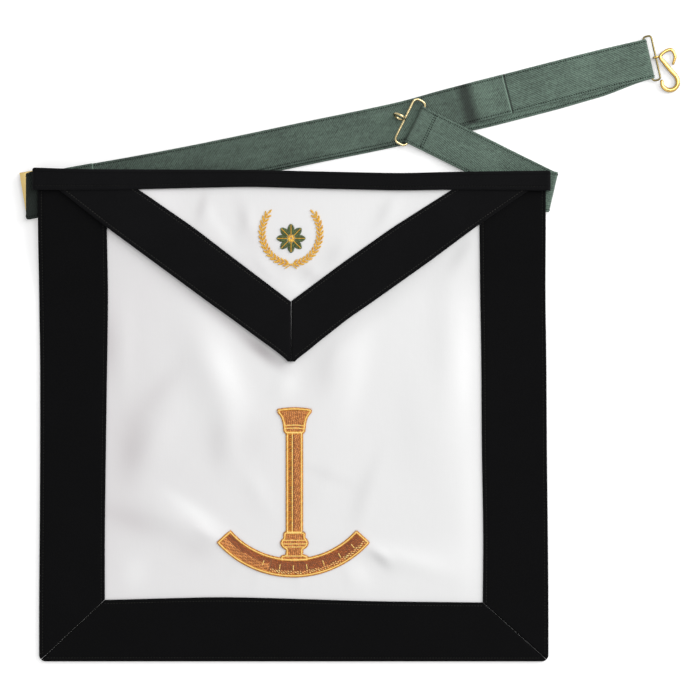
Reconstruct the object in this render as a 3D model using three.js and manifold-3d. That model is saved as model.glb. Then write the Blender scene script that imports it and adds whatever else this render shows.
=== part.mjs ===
// A lodge apron laid flat: white satin with black velvet bands, a turned-down flap, a green webbing
// belt with brass fittings, and raised embroidery. Millimetres, +Z up, the front faces up.
// The origin is on the surface it lies on, at the middle of the whole outline.
import * as THREE from 'three';
import Module from 'manifold-3d';
import { mergeVertices } from 'three/addons/utils/BufferGeometryUtils.js';

const wasm = await Module();
wasm.setup();

// Apron
const apronLeft = -247.7;
const apronBottom = -250.5;
const apronWidth = 406;
const apronHeight = 392.8;
const sideBandWidth = 53.2;
const bottomBandWidth = 49.6;
const cornerRadius = 5;
const satinThickness = 1;
const velvetThickness = 1.2;
const clothGap = 0.4;
const seamGap = 0.4;
const waveHeight = 0.8;

// Flap
const flapCentre = 201.3;
const flapHalfWidth = 187.6;
const flapDrop = 137;
const flapTuck = 8;
const flapBandSpan = 66;

// Waistband
const waistbandHeight = 14.4;
const waistbandOverhang = 4.6;

// Belt webbing
const webbingWidth = 32;
const webbingThickness = 1;
const webbingGap = 0.3;
const beltRun = 498.6;
const beltRise = 110.4;
const beltStartOut = 9.8;
const beltStartDown = 20.8;
const shortStrapLength = 122.3;
const shortStrapHeading = THREE.MathUtils.degToRad(153.8);
const shortFoldOut = 3;
const shortFoldDown = 17;
const cornerTabLength = 42;
const webbingRowStep = 12;
const slideTurnRadius = 1.4;
const tabTurnRadius = 1.2;
const hemTurnRadius = 4;
const hookTurnRadius = 5;
const hookHemLength = 16;
const foldEase = 5;
const tabRise = 6;
const catchHemLength = 11;
const floorRun = 40;
const climbRun = 66;

// Stations along the long strap, as shares of its length
const strapHem = 0.769;
const stepTop = 0.722;
const stepFoot = 0.702;
const hookHem = 0.727;
const webbingJoin = 0.66;

// Brass fittings
const wireRadius = 0.8;
const wireGap = 0.3;
const slideEndBar = 1.7;
const slideShift = 0.7;
const slideThickness = 1.4;
const slideBar = 2.6;
const slideSlot = 6.4;
const slideLean = THREE.MathUtils.degToRad(9.5);
const slideSlack = 1.2;
const hookEndPlay = 1.2;
const catchEndPlay = 2.4;
const loopRounding = 0.36;
const hookLoopDepth = 6.4;
const catchLoopDepth = 10.2;
const catchRingRadius = 4.6;
const catchRingTilt = THREE.MathUtils.degToRad(75);
const hookRingRadius = 1.95;
const hookWidth = 17.8;
const hookLength = 32;
const hookWireRadius = 1.7;

// Embroidery
const threadThickness = 1;
const threadGap = 0.3;
const columnHeight = 121;
const columnWidth = 25.6;
const columnFoot = 81.4;
const emblemCentre = 203;
const columnCentre = 203.9;
const columnFootHalf = 10;
const arcInnerRadius = 67.6;
const arcBandWidth = 13.2;
const arcHalfAngle = THREE.MathUtils.degToRad(48);
const wreathHalfWidth = 23.2;
const wreathHalfHeight = 24.8;
const wreathDown = 50;
const wreathStart = THREE.MathUtils.degToRad(5);
const wreathEnd = THREE.MathUtils.degToRad(128);
const stemHalf = 0.7;
const leafLength = 6.4;
const leafPairs = 12;
const rosetteRadius = 12;
const rosetteDown = 54.5;
const rosettePetals = 8;

const apronTop = apronBottom + apronHeight;

// Side edges: rows go up the apron. Edge columns are shares of its width, band columns shares of a band
const sideEdges = [
  { at: 0.00, left: -0.001, leftBand: 0.99, rightBand: 0.99, right: 1.003 },
  { at: 0.13, left: -0.001, leftBand: 0.99, rightBand: 0.99, right: 1.003 },
  { at: 0.25, left: 0.000, leftBand: 0.98, rightBand: 0.97, right: 1.002 },
  { at: 0.43, left: 0.001, leftBand: 0.99, rightBand: 0.98, right: 1.000 },
  { at: 0.62, left: 0.001, leftBand: 1.01, rightBand: 0.98, right: 0.999 },
  { at: 0.74, left: -0.001, leftBand: 1.04, rightBand: 0.98, right: 0.997 },
  { at: 1.00, left: -0.002, leftBand: 1.03, rightBand: 1.01, right: 0.997 },
];

// Rows round a lower corner, from the mitre: degrees on the corner, then the share moved inward
const sideCornerRows = [[45, 0], [22, 0.02], [0, 0.05]];
const bottomCornerRows = [[45, 0], [68, 0.015], [90, 0.03]];

// Bottom band: rows go across, its width as a share of the named one
const bottomEdges = [
  { at: 0.00, band: 0.99 },
  { at: 0.17, band: 1.02 },
  { at: 0.31, band: 1.04 },
  { at: 0.45, band: 1.02 },
  { at: 0.71, band: 0.97 },
  { at: 1.00, band: 0.95 },
];

// Waistband: rows go across, top edge raised and depth as shares of its height
const waistbandEdges = [
  { at: 0.00, raised: 0.14, depth: 1.25 },
  { at: 0.04, raised: 0.08, depth: 1.20 },
  { at: 0.13, raised: 0.03, depth: 1.16 },
  { at: 0.21, raised: 0.03, depth: 1.11 },
  { at: 0.30, raised: 0.03, depth: 1.03 },
  { at: 0.42, raised: 0.02, depth: 0.95 },
  { at: 0.56, raised: -0.08, depth: 0.96 },
  { at: 0.71, raised: -0.17, depth: 0.97 },
  { at: 0.81, raised: -0.10, depth: 1.00 },
  { at: 1.00, raised: -0.03, depth: 1.12 },
];

// Flap: rows go down it. Outer edges are shares of half its width, bands shares of the band's span
const flapEdges = [
  { at: -0.058, left: 1.040, leftBand: 0.90, rightBand: 0.89, right: 1.073 },
  { at: 0.000, left: 0.986, leftBand: 0.97, rightBand: 0.94, right: 1.014 },
  { at: 0.216, left: 0.786, leftBand: 1.05, rightBand: 1.00, right: 0.786 },
  { at: 0.410, left: 0.594, leftBand: 1.03, rightBand: 1.03, right: 0.596 },
  { at: 0.655, left: 0.351, leftBand: 1.01, rightBand: 1.00, right: 0.344 },
  { at: 0.743, left: 0.261, leftBand: 1.00, rightBand: 1.00, right: 0.250 },
  { at: 0.877, left: 0.128, leftBand: 1.00, rightBand: 1.00, right: 0.125 },
  { at: 0.936, left: 0.068, leftBand: 1.00, rightBand: 1.00, right: 0.073 },
  { at: 0.978, left: 0.030, leftBand: 1.00, rightBand: 1.00, right: 0.033 },
  { at: 1.000, left: 0.010, leftBand: 1.00, rightBand: 1.00, right: 0.012 },
];

// Middle line of the long strap, from the slide to the hook, as shares of its run and rise
const beltLine = [
  { along: 0.000, up: 0.000 },
  { along: 0.060, up: 0.056 },
  { along: 0.188, up: 0.159 },
  { along: 0.285, up: 0.243 },
  { along: 0.446, up: 0.395 },
  { along: 0.607, up: 0.549 },
  { along: 0.671, up: 0.629 },
  { along: 0.770, up: 0.744 },
  { along: 0.927, up: 0.925 },
  { along: 1.000, up: 1.000 },
];

// How far the strap's lower layer slips below the upper one, as shares of the webbing's width
const beltSlip = [
  { at: 0.00, slip: 0 },
  { at: 0.10, slip: 0.06 },
  { at: 0.45, slip: 0.07 },
  { at: 0.62, slip: 0.08 },
  { at: 0.72, slip: 0.19 },
  { at: 0.84, slip: 0.19 },
  { at: 0.92, slip: 0.15 },
  { at: 0.97, slip: 0.03 },
  { at: 0.985, slip: 0 },
  { at: 1.00, slip: 0 },
];

// Snake hook: its middle line from the short curl to the open one, as shares of its width and length
const hookLine = [
  { out: 0.79, up: -0.16 },
  { out: 0.87, up: 0.03 },
  { out: 0.71, up: 0.19 },
  { out: 0.43, up: 0.15 },
  { out: 0.20, up: 0.01 },
  { out: 0.38, up: -0.13 },
  { out: 0.65, up: -0.31 },
  { out: 0.94, up: -0.50 },
  { out: 0.99, up: -0.67 },
  { out: 0.80, up: -0.80 },
  { out: 0.53, up: -0.81 },
  { out: 0.31, up: -0.72 },
  { out: 0.27, up: -0.60 },
];

// Column outlines: rows go up from the foot, half widths as shares of half the column's width
const baseOutline = [
  { at: 0.022, half: 0.78 },
  { at: 0.026, half: 0.46 },
  { at: 0.070, half: 0.46 },
  { at: 0.085, half: 0.66 },
  { at: 0.110, half: 0.80 },
  { at: 0.136, half: 0.66 },
  { at: 0.146, half: 0.61 },
  { at: 0.176, half: 0.60 },
];
const shaftOutline = [
  { at: 0.182, half: 0.45 },
  { at: 0.836, half: 0.45 },
];
const capitalOutline = [
  { at: 0.840, half: 0.50 },
  { at: 0.856, half: 0.61 },
  { at: 0.880, half: 0.63 },
  { at: 0.905, half: 0.68 },
  { at: 0.945, half: 0.82 },
  { at: 0.988, half: 1.02 },
];

// Reads one column of a table at a place between its rows
function read(table, column, place, ease = (share) => share) {
  let index = 0;
  while (index < table.length - 2 && place > table[index + 1].at) {
    index += 1;
  }
  const low = table[index];
  const high = table[index + 1];
  const share = THREE.MathUtils.clamp((place - low.at) / (high.at - low.at), 0, 1);
  return THREE.MathUtils.lerp(low[column], high[column], ease(share));
}

const soft = (share) => 0.5 - 0.5 * Math.cos(Math.PI * share);

// Layers of webbing from the floor up, then the heights that the apron has to clear
const webbingPitch = webbingThickness + webbingGap;
const webbingMiddle = (layer) => layer * webbingPitch + webbingThickness / 2;
const slideUnderside = 3 * webbingPitch;
const tabMiddle = slideUnderside + slideThickness + wireGap + webbingThickness / 2;
const leftRise = tabMiddle + webbingThickness / 2 + clothGap;
const middleRise = 2 * webbingPitch + clothGap / 2;
const rightRise = 4 * webbingPitch;

// The apron's underside is lifted along its top edge by what lies behind it
const riseAcross = [
  { at: 0.00, rise: leftRise },
  { at: 0.15, rise: leftRise },
  { at: 0.30, rise: middleRise },
  { at: 0.70, rise: middleRise },
  { at: 0.83, rise: rightRise * 0.92 },
  { at: 1.00, rise: rightRise },
];
const riseUp = [
  { at: 0.73, share: 0 },
  { at: 0.895, share: 1 },
];

function undersideHeight(x, y) {
  const across = (x - apronLeft) / apronWidth;
  const up = (y - apronBottom) / apronHeight;
  return read(riseAcross, 'rise', across, soft) * read(riseUp, 'share', up, soft);
}

// Soft undulation of the satin between its bands
function satinWave(x, y) {
  const wavesAcross = 2.2;
  const wavesUp = 0.7;
  const across = (x - apronLeft - sideBandWidth) / (apronWidth - 2 * sideBandWidth);
  const up = (y - apronBottom - bottomBandWidth) / (apronHeight - bottomBandWidth - waistbandHeight);
  const inside = (share) => Math.sin(Math.PI * THREE.MathUtils.clamp(share, 0, 1));
  const phase = 2 * Math.PI * (wavesAcross * across + wavesUp * up);
  return waveHeight * inside(across) * inside(up) * (0.5 + 0.5 * Math.cos(phase));
}

// Cloth layers above the underside
const bandLevel = satinThickness + clothGap;
const flapLevel = bandLevel + velvetThickness + clothGap;
const flapBandLevel = flapLevel + satinThickness + clothGap;
const waistbandLevel = flapBandLevel + velvetThickness + clothGap;
const above = (level) => (x, y) => undersideHeight(x, y) + level;

function leftEdge(y) {
  return apronLeft + apronWidth * read(sideEdges, 'left', (y - apronBottom) / apronHeight);
}

function rightEdge(y) {
  return apronLeft + apronWidth * read(sideEdges, 'right', (y - apronBottom) / apronHeight);
}

function leftBandEdge(y) {
  return leftEdge(y) + sideBandWidth * read(sideEdges, 'leftBand', (y - apronBottom) / apronHeight);
}

function rightBandEdge(y) {
  return rightEdge(y) - sideBandWidth * read(sideEdges, 'rightBand', (y - apronBottom) / apronHeight);
}

function bottomBandEdge(across) {
  return apronBottom + bottomBandWidth * read(bottomEdges, 'band', across);
}

function waistbandTop(across) {
  return apronTop + waistbandHeight * read(waistbandEdges, 'raised', across);
}

function waistbandBottom(across) {
  return waistbandTop(across) - waistbandHeight * read(waistbandEdges, 'depth', across);
}

// Faces across a band, and across a satin panel
const bandSpans = 4;
const panelSpans = 22;

// Evenly spaced shares from 0 to 1
const shares = (count) => Array.from({ length: count + 1 }, (unused, index) => index / count);

function geometryOf(vertices, triangles) {
  let volume = 0;
  for (const [first, second, third] of triangles) {
    const a = new THREE.Vector3(...vertices[first]);
    const b = new THREE.Vector3(...vertices[second]);
    const c = new THREE.Vector3(...vertices[third]);
    volume += a.dot(b.cross(c));
  }
  const order = volume < 0 ? triangles.map(([a, b, c]) => [a, c, b]) : triangles;
  const geometry = new THREE.BufferGeometry();
  geometry.setAttribute('position', new THREE.Float32BufferAttribute(vertices.flat(), 3));
  geometry.setIndex(order.flat());
  geometry.computeVertexNormals();
  return geometry;
}

// Triangles of a flat ring of points, found in the plane that it lies in
function capTriangles(ring) {
  const normal = new THREE.Vector3();
  ring.forEach((point, index) => {
    const here = new THREE.Vector3(...point);
    const next = new THREE.Vector3(...ring[(index + 1) % ring.length]);
    normal.add(here.cross(next));
  });
  normal.normalize();
  const helper = Math.abs(normal.z) < 0.9 ? new THREE.Vector3(0, 0, 1) : new THREE.Vector3(1, 0, 0);
  const sideways = new THREE.Vector3().crossVectors(helper, normal).normalize();
  const upwards = new THREE.Vector3().crossVectors(normal, sideways);
  const flat = ring.map((point) => {
    const place = new THREE.Vector3(...point);
    return new THREE.Vector2(place.dot(sideways), place.dot(upwards));
  });
  return THREE.ShapeUtils.triangulateShape(flat, []);
}

// Joins rings of equal length into a closed body, with flat ends unless it runs round to its start
function loft(rings, endless = false) {
  const size = rings[0].length;
  const triangles = [];
  const steps = endless ? rings.length : rings.length - 1;
  for (let step = 0; step < steps; step += 1) {
    const here = step * size;
    const there = ((step + 1) % rings.length) * size;
    for (let side = 0; side < size; side += 1) {
      const next = (side + 1) % size;
      triangles.push([here + side, here + next, there + next]);
      triangles.push([here + side, there + next, there + side]);
    }
  }
  if (!endless) {
    const last = (rings.length - 1) * size;
    for (const [a, b, c] of capTriangles(rings[0])) {
      triangles.push([a, c, b]);
    }
    for (const [a, b, c] of capTriangles(rings[rings.length - 1])) {
      triangles.push([last + a, last + b, last + c]);
    }
  }
  return geometryOf(rings.flat(), triangles);
}

// A sheet over rows of [x, y] places, between two height functions
function sheet(rows, under, over) {
  const rings = rows.map((row) => {
    const top = row.map(([x, y]) => [x, y, over(x, y)]);
    const bottom = row.map(([x, y]) => [x, y, under(x, y)]).reverse();
    return [...top, ...bottom];
  });
  const width = rows[0].length;
  const size = 2 * width;
  const triangles = [];
  rings.slice(1).forEach((unused, step) => {
    const here = step * size;
    const there = here + size;
    for (let side = 0; side < size; side += 1) {
      const next = (side + 1) % size;
      triangles.push([here + side, here + next, there + next]);
      triangles.push([here + side, there + next, there + side]);
    }
  });
  const last = (rings.length - 1) * size;
  for (let side = 0; side < width - 1; side += 1) {
    const under0 = size - 1 - side;
    const under1 = under0 - 1;
    triangles.push([side, under0, under1], [side, under1, side + 1]);
    triangles.push([last + side, last + under1, last + under0], [last + side, last + side + 1, last + under1]);
  }
  return geometryOf(rings.flat(), triangles);
}

// Places across a band, from its outer edge over the folded lip to its inner edge
function bandRow(outer, inner, spans) {
  const start = new THREE.Vector2(...outer);
  const end = new THREE.Vector2(...inner);
  const width = start.distanceTo(end);
  const lip = Math.min(velvetThickness, 0.45 * width) / width;
  const stops = [0, ...shares(spans).map((share) => lip + (1 - lip) * share)];
  return stops.map((share) => start.clone().lerp(end, share).toArray());
}

// A band lying on the cloth, with its outer edge folded down to the underside
function foldedBand(rows, foot, level) {
  const rings = rows.map((row) => {
    const top = row.map(([x, y]) => [x, y, above(level + velvetThickness)(x, y)]);
    const under = row.slice(1).map(([x, y]) => [x, y, above(level)(x, y)]).reverse();
    const lip = [row[1], row[0]].map(([x, y]) => [x, y, above(foot)(x, y)]);
    return [...top, ...under, ...lip];
  });
  return loft(rings);
}

// A flat outline raised between two height functions
function raisedShape(outline, under, over) {
  const count = outline.length;
  const vertices = [
    ...outline.map(([x, y]) => [x, y, over(x, y)]),
    ...outline.map(([x, y]) => [x, y, under(x, y)]),
  ];
  const flat = outline.map(([x, y]) => new THREE.Vector2(x, y));
  const triangles = [];
  for (const [a, b, c] of THREE.ShapeUtils.triangulateShape(flat, [])) {
    triangles.push([a, b, c], [count + a, count + c, count + b]);
  }
  const wall = THREE.ShapeUtils.isClockWise(flat) ? -1 : 1;
  for (let side = 0; side < count; side += 1) {
    const next = (side + 1) % count;
    if (wall > 0) {
      triangles.push([side, count + side, count + next], [side, count + next, next]);
    } else {
      triangles.push([side, count + next, count + side], [side, next, count + next]);
    }
  }
  return geometryOf(vertices, triangles);
}

// A strap from the two edges of its middle surface, thickened along its own normal
function ribbon(edges, thickness) {
  const middles = edges.map(({ a, b }) => a.clone().add(b).multiplyScalar(0.5));
  const rings = edges.map(({ a, b }, index) => {
    const before = middles[Math.max(index - 1, 0)];
    const after = middles[Math.min(index + 1, middles.length - 1)];
    const ahead = after.clone().sub(before);
    const normal = b.clone().sub(a).cross(ahead).normalize().multiplyScalar(thickness / 2);
    return [
      a.clone().add(normal), b.clone().add(normal),
      b.clone().sub(normal), a.clone().sub(normal),
    ].map((point) => point.toArray());
  });
  return loft(rings);
}

// Replaces each inner corner of a path of [distance, height] stops by a short arc
function roundedPath(stops, radius, step) {
  const points = stops.map(([distance, height]) => new THREE.Vector2(distance, height));
  const path = [points[0]];
  for (let index = 1; index < points.length - 1; index += 1) {
    const corner = points[index];
    const back = points[index - 1].clone().sub(corner);
    const on = points[index + 1].clone().sub(corner);
    const reach = Math.min(radius, back.length() / 2.1, on.length() / 2.1);
    const start = corner.clone().addScaledVector(back.normalize(), reach);
    const end = corner.clone().addScaledVector(on.normalize(), reach);
    const bend = new THREE.QuadraticBezierCurve(start, corner, end);
    path.push(...bend.getPoints(4));
  }
  path.push(points[points.length - 1]);
  const dense = [path[0]];
  for (const point of path.slice(1)) {
    const from = dense[dense.length - 1].clone();
    const pieces = Math.max(1, Math.ceil(from.distanceTo(point) / step));
    for (let piece = 1; piece <= pieces; piece += 1) {
      dense.push(from.clone().lerp(point, piece / pieces));
    }
  }
  return dense.map((point) => [point.x, point.y]);
}

// A half turn round a wire, from under it to over it, or back, on the far side of its centre
function halfTurn(centre, height, radius, downwards = false) {
  return shares(8).map((share) => {
    const angle = Math.PI * (share - 0.5) * (downwards ? -1 : 1);
    return [centre + radius * Math.cos(angle), height + radius * Math.sin(angle)];
  });
}

// Round wire along points, open with flat ends or endless
function wire(points, radius, sides, endless) {
  const count = points.length;
  let carried = null;
  const rings = points.map((point, index) => {
    const before = points[endless ? (index + count - 1) % count : Math.max(index - 1, 0)];
    const after = points[endless ? (index + 1) % count : Math.min(index + 1, count - 1)];
    const ahead = after.clone().sub(before).normalize();
    const guess = carried || (Math.abs(ahead.z) < 0.9 ? new THREE.Vector3(0, 0, 1) : new THREE.Vector3(1, 0, 0));
    const up = guess.clone().addScaledVector(ahead, -guess.dot(ahead)).normalize();
    carried = up;
    const side = new THREE.Vector3().crossVectors(ahead, up);
    return shares(sides).slice(1).map((share) => {
      const angle = 2 * Math.PI * share;
      const reach = up.clone().multiplyScalar(radius * Math.cos(angle));
      return point.clone().add(reach).addScaledVector(side, radius * Math.sin(angle)).toArray();
    });
  });
  return loft(rings, endless);
}

function toSolid(geometry) {
  const bare = new THREE.BufferGeometry();
  bare.setAttribute('position', geometry.getAttribute('position').clone());
  bare.setIndex(geometry.getIndex());
  const merged = mergeVertices(bare, 1e-4);
  return new wasm.Manifold(new wasm.Mesh({
    numProp: 3,
    vertProperties: new Float32Array(merged.getAttribute('position').array),
    triVerts: new Uint32Array(merged.getIndex().array),
  }));
}

function fromSolid(solid) {
  const mesh = solid.getMesh();
  const geometry = new THREE.BufferGeometry();
  const positions = new Float32Array(mesh.vertProperties);
  geometry.setAttribute('position', new THREE.BufferAttribute(positions, 3));
  geometry.setIndex(new THREE.BufferAttribute(new Uint32Array(mesh.triVerts), 1));
  geometry.computeVertexNormals();
  return geometry;
}

const cloth = (colour, roughness) => () => new THREE.MeshStandardMaterial({ color: colour, roughness });
const satinWhite = cloth(0xf2efee, 0.45);
const velvetBlack = cloth(0x121213, 0.95);
const webbingGreen = cloth(0x4c675c, 0.8);
const threadBronze = cloth(0xa9672f, 0.6);
const threadGold = cloth(0xd9a237, 0.5);
const threadGreen = cloth(0x4f7a45, 0.6);
const brass = () => new THREE.MeshStandardMaterial({ color: 0xe2b95a, roughness: 0.25, metalness: 1 });

const apron = new THREE.Group();

function addPiece(name, geometry, material) {
  const mesh = new THREE.Mesh(geometry, material());
  mesh.name = name;
  apron.add(mesh);
}

// The satin ground stops inside the folded lips of its bands and inside the waistband
function satinPanel() {
  const inset = velvetThickness + clothGap;
  const low = apronBottom + inset;
  const high = apronTop - waistbandHeight * 0.17 - inset;
  const corner = cornerRadius;
  const cornerStops = [0, 0.15, 0.45, 1].map((share) => low + corner * share);
  const restStops = shares(panelSpans).slice(1).map((share) => THREE.MathUtils.lerp(low + corner, high, share));
  const rows = [...cornerStops, ...restStops].map((y) => {
    const fromCentre = THREE.MathUtils.clamp(corner - (y - low), 0, corner);
    const rounding = corner - Math.sqrt(corner ** 2 - fromCentre ** 2);
    const left = leftEdge(y) + inset + rounding * 0.9;
    const right = rightEdge(y) - inset - rounding * 0.9;
    return shares(panelSpans).map((share) => [THREE.MathUtils.lerp(left, right, share), y]);
  });
  const under = (x, y) => undersideHeight(x, y) + satinWave(x, y);
  const over = (x, y) => under(x, y) + satinThickness;
  return sheet(rows, under, over);
}

// The corner's mitre: an outer place on the rounded corner, by angle, for either side
function cornerPlace(onRight, degrees) {
  const x = onRight ? rightEdge(apronBottom) - cornerRadius : leftEdge(apronBottom) + cornerRadius;
  const angle = THREE.MathUtils.degToRad(degrees);
  const reach = cornerRadius * Math.cos(angle) * (onRight ? 1 : -1);
  return [x + reach, apronBottom + cornerRadius - cornerRadius * Math.sin(angle)];
}

function sideBand(onRight) {
  const edge = onRight ? rightEdge : leftEdge;
  const bandEdge = onRight ? rightBandEdge : leftBandEdge;
  const innerCorner = bottomBandEdge(onRight ? 1 : 0);
  const top = apronTop - waistbandHeight * 0.17 - velvetThickness - clothGap;
  const mitreLift = seamGap / 2;
  const rows = [];
  for (const [degrees, inward] of sideCornerRows) {
    const [x, y] = cornerPlace(onRight, degrees);
    const innerY = THREE.MathUtils.lerp(innerCorner, top, inward) + mitreLift;
    rows.push(bandRow([x, y + mitreLift], [bandEdge(innerY), innerY], bandSpans));
  }
  const straightStart = rows[rows.length - 1][bandSpans + 1][1];
  for (const share of shares(20).slice(1)) {
    const outerY = THREE.MathUtils.lerp(apronBottom + cornerRadius, top, share);
    const innerY = THREE.MathUtils.lerp(straightStart, top, share);
    rows.push(bandRow([edge(outerY), outerY], [bandEdge(innerY), innerY], bandSpans));
  }
  return foldedBand(rows, 0, bandLevel);
}

function bottomBand() {
  const left = leftBandEdge(bottomBandEdge(0));
  const right = rightBandEdge(bottomBandEdge(1));
  const mitreShift = seamGap / 2;
  const rows = [];
  const corner = (onRight, degrees, inward) => {
    const [x, y] = cornerPlace(onRight, degrees);
    const across = onRight ? 1 - inward : inward;
    const shift = (onRight ? -1 : 1) * mitreShift;
    const inner = [THREE.MathUtils.lerp(left, right, across) + shift, bottomBandEdge(across)];
    return bandRow([x + shift, y], inner, bandSpans);
  };
  for (const [degrees, inward] of bottomCornerRows) {
    rows.push(corner(false, degrees, inward));
  }
  const [, straightShare] = bottomCornerRows[bottomCornerRows.length - 1];
  const outerLeft = leftEdge(apronBottom) + cornerRadius;
  const outerRight = rightEdge(apronBottom) - cornerRadius;
  for (const share of shares(14).slice(1, -1)) {
    const inward = THREE.MathUtils.lerp(straightShare, 1 - straightShare, share);
    const outer = [THREE.MathUtils.lerp(outerLeft, outerRight, share), apronBottom];
    rows.push(bandRow(outer, [THREE.MathUtils.lerp(left, right, inward), bottomBandEdge(inward)], bandSpans));
  }
  for (const [degrees, inward] of [...bottomCornerRows].reverse()) {
    rows.push(corner(true, degrees, inward));
  }
  return foldedBand(rows, 0, bandLevel);
}

// Flap edges by share of its drop, as distances from its middle line
const flapMiddle = apronLeft + flapCentre;
const flapStart = apronTop - waistbandHeight * 1.1;
const flapStops = [
  -flapTuck / flapDrop, 0, 0.06, 0.12, 0.18, 0.24, 0.3, 0.36, 0.42, 0.48, 0.54, 0.6, 0.655,
  0.7, 0.743, 0.8, 0.877, 0.936, 0.978, 1,
];
const flapY = (down) => flapStart - flapDrop * down;
const flapEdge = (side, down) => flapHalfWidth * read(flapEdges, side, down);

function flapBandEdge(side, down) {
  const band = flapBandSpan * read(flapEdges, `${side}Band`, down);
  return Math.max(flapEdge(side, down) - band, seamGap / 2);
}

function flapBand(side) {
  const sign = side === 'left' ? -1 : 1;
  const rows = flapStops.map((down) => {
    const outer = [flapMiddle + sign * flapEdge(side, down), flapY(down)];
    const inner = [flapMiddle + sign * flapBandEdge(side, down), flapY(down)];
    return bandRow(outer, inner, 6);
  });
  return foldedBand(rows, flapLevel, flapBandLevel);
}

function flapPanel() {
  const inset = 1.4 * (velvetThickness + clothGap);
  const rows = flapStops.filter((down) => down < 0.94).map((down) => {
    const left = flapMiddle - flapEdge('left', down) + inset;
    const right = flapMiddle + flapEdge('right', down) - inset;
    return shares(panelSpans).map((share) => [THREE.MathUtils.lerp(left, right, share), flapY(down)]);
  });
  return sheet(rows, above(flapLevel), above(flapLevel + satinThickness));
}

// The waistband is a block along the top edge, hollowed from below and in front of its lip
function waistband() {
  const left = apronLeft - waistbandOverhang;
  const right = apronLeft + apronWidth + waistbandOverhang / 2;
  const shell = (inset, roof, floor, skirt) => shares(40).map((share) => {
    const x = THREE.MathUtils.lerp(left + inset, right - inset, share);
    const across = (x - left) / (right - left);
    const top = waistbandTop(across) - inset;
    const bottom = waistbandBottom(across) - skirt;
    const ground = undersideHeight(x, apronTop);
    return [[top, roof], [bottom, roof], [bottom, floor], [top, floor]].map(([y, z]) => [x, y, ground + z]);
  });
  const outside = toSolid(loft(shell(0, waistbandLevel + velvetThickness, 0, 0)));
  const inside = toSolid(loft(shell(velvetThickness, waistbandLevel, -velvetThickness, velvetThickness)));
  return fromSolid(outside.subtract(inside));
}

// The long strap's middle line on the floor
const beltStart = new THREE.Vector3(apronLeft - beltStartOut, apronTop - beltStartDown, 0);
const beltCurve = new THREE.CatmullRomCurve3(beltLine.map(({ along, up }) => new THREE.Vector3(
  beltStart.x + beltRun * along,
  beltStart.y + beltRise * up,
  0,
)));
const beltLength = beltCurve.getLength();
const upwards = new THREE.Vector3(0, 0, 1);

// Direction across the strap: square to it, and leaning with the slide at its left end
function beltAcross(distance) {
  const ahead = beltCurve.getTangentAt(THREE.MathUtils.clamp(distance / beltLength, 0, 1));
  const square = new THREE.Vector3().crossVectors(upwards, ahead);
  const leaning = new THREE.Vector3(-Math.sin(slideLean), Math.cos(slideLean), 0);
  const slideReach = 3 * (slideBar + slideSlot);
  return leaning.lerp(square, soft(THREE.MathUtils.clamp(distance / slideReach - 0.5, 0, 1))).normalize();
}

function beltPlace(distance) {
  const place = beltCurve.getPointAt(THREE.MathUtils.clamp(distance / beltLength, 0, 1));
  const start = beltCurve.getTangentAt(0);
  return distance < 0 ? place.addScaledVector(start, distance) : place;
}

function beltRibbon(path, lower) {
  const edges = path.map(([distance, height], index) => {
    const across = beltAcross(distance);
    const slip = lower(index) ? webbingWidth * read(beltSlip, 'slip', distance / beltLength) : 0;
    const middle = beltPlace(distance).addScaledVector(across, -slip);
    middle.z = height;
    return {
      a: middle.clone().addScaledVector(across, webbingWidth / 2),
      b: middle.clone().addScaledVector(across, -webbingWidth / 2),
    };
  });
  return ribbon(edges, webbingThickness);
}

// Stations of the slide along the strap, from the strap's fold in the outer slot
const foldMiddle = webbingThickness / 2;
const slideStart = -slideBar - wireGap;
const middleBarStart = slideStart + slideBar + slideSlot;
const innerSlotStart = middleBarStart + slideBar;
const innerBarStart = innerSlotStart + slideSlot;
const turnReach = wireGap + webbingThickness / 2;

// Stations of the long strap: its hemmed end, the step over its own inner end, and the hook's wire
const hookWire = beltLength - wireRadius - wireGap - webbingThickness;
const hookWireHeight = webbingThickness + wireGap + wireRadius;
const wireTurn = wireRadius + wireGap + webbingThickness / 2;

// The strap runs from its hem through the slide, and back underneath to the hook's webbing
function longStrap() {
  const upper = roundedPath([
    [strapHem * beltLength, webbingMiddle(2)],
    [stepTop * beltLength, webbingMiddle(2)],
    [stepFoot * beltLength, webbingMiddle(1)],
    [innerSlotStart + turnReach, webbingMiddle(1)],
    [innerSlotStart + turnReach, tabMiddle],
    [foldMiddle, tabMiddle],
    [foldMiddle, webbingMiddle(0)],
    [2 * slideSlot, webbingMiddle(0)],
  ], slideTurnRadius, webbingRowStep);
  const lower = roundedPath([
    [2 * slideSlot, webbingMiddle(0)],
    [webbingJoin * beltLength - seamGap / 2, webbingMiddle(0)],
  ], 0, webbingRowStep);
  return beltRibbon([...upper, ...lower.slice(1)], (index) => index >= upper.length);
}

// The hook's webbing folds round the hook loop, and ends under the strap's hem
function hookStrap() {
  const lower = roundedPath([
    [webbingJoin * beltLength + seamGap / 2, webbingMiddle(0)],
    [hookWire, webbingMiddle(0)],
  ], 0, webbingRowStep);
  const back = roundedPath([
    [hookWire, hookWireHeight + wireTurn],
    [hookWire - foldEase, hookWireHeight + wireTurn - 0.2],
    [hookWire - hookHemLength, webbingMiddle(1)],
    [hookHem * beltLength, webbingMiddle(1)],
  ], hookTurnRadius, webbingRowStep);
  const turn = halfTurn(hookWire, hookWireHeight, wireTurn);
  return beltRibbon([...lower.slice(0, -1), ...turn, ...back.slice(1)], (index) => index < lower.length);
}

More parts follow.
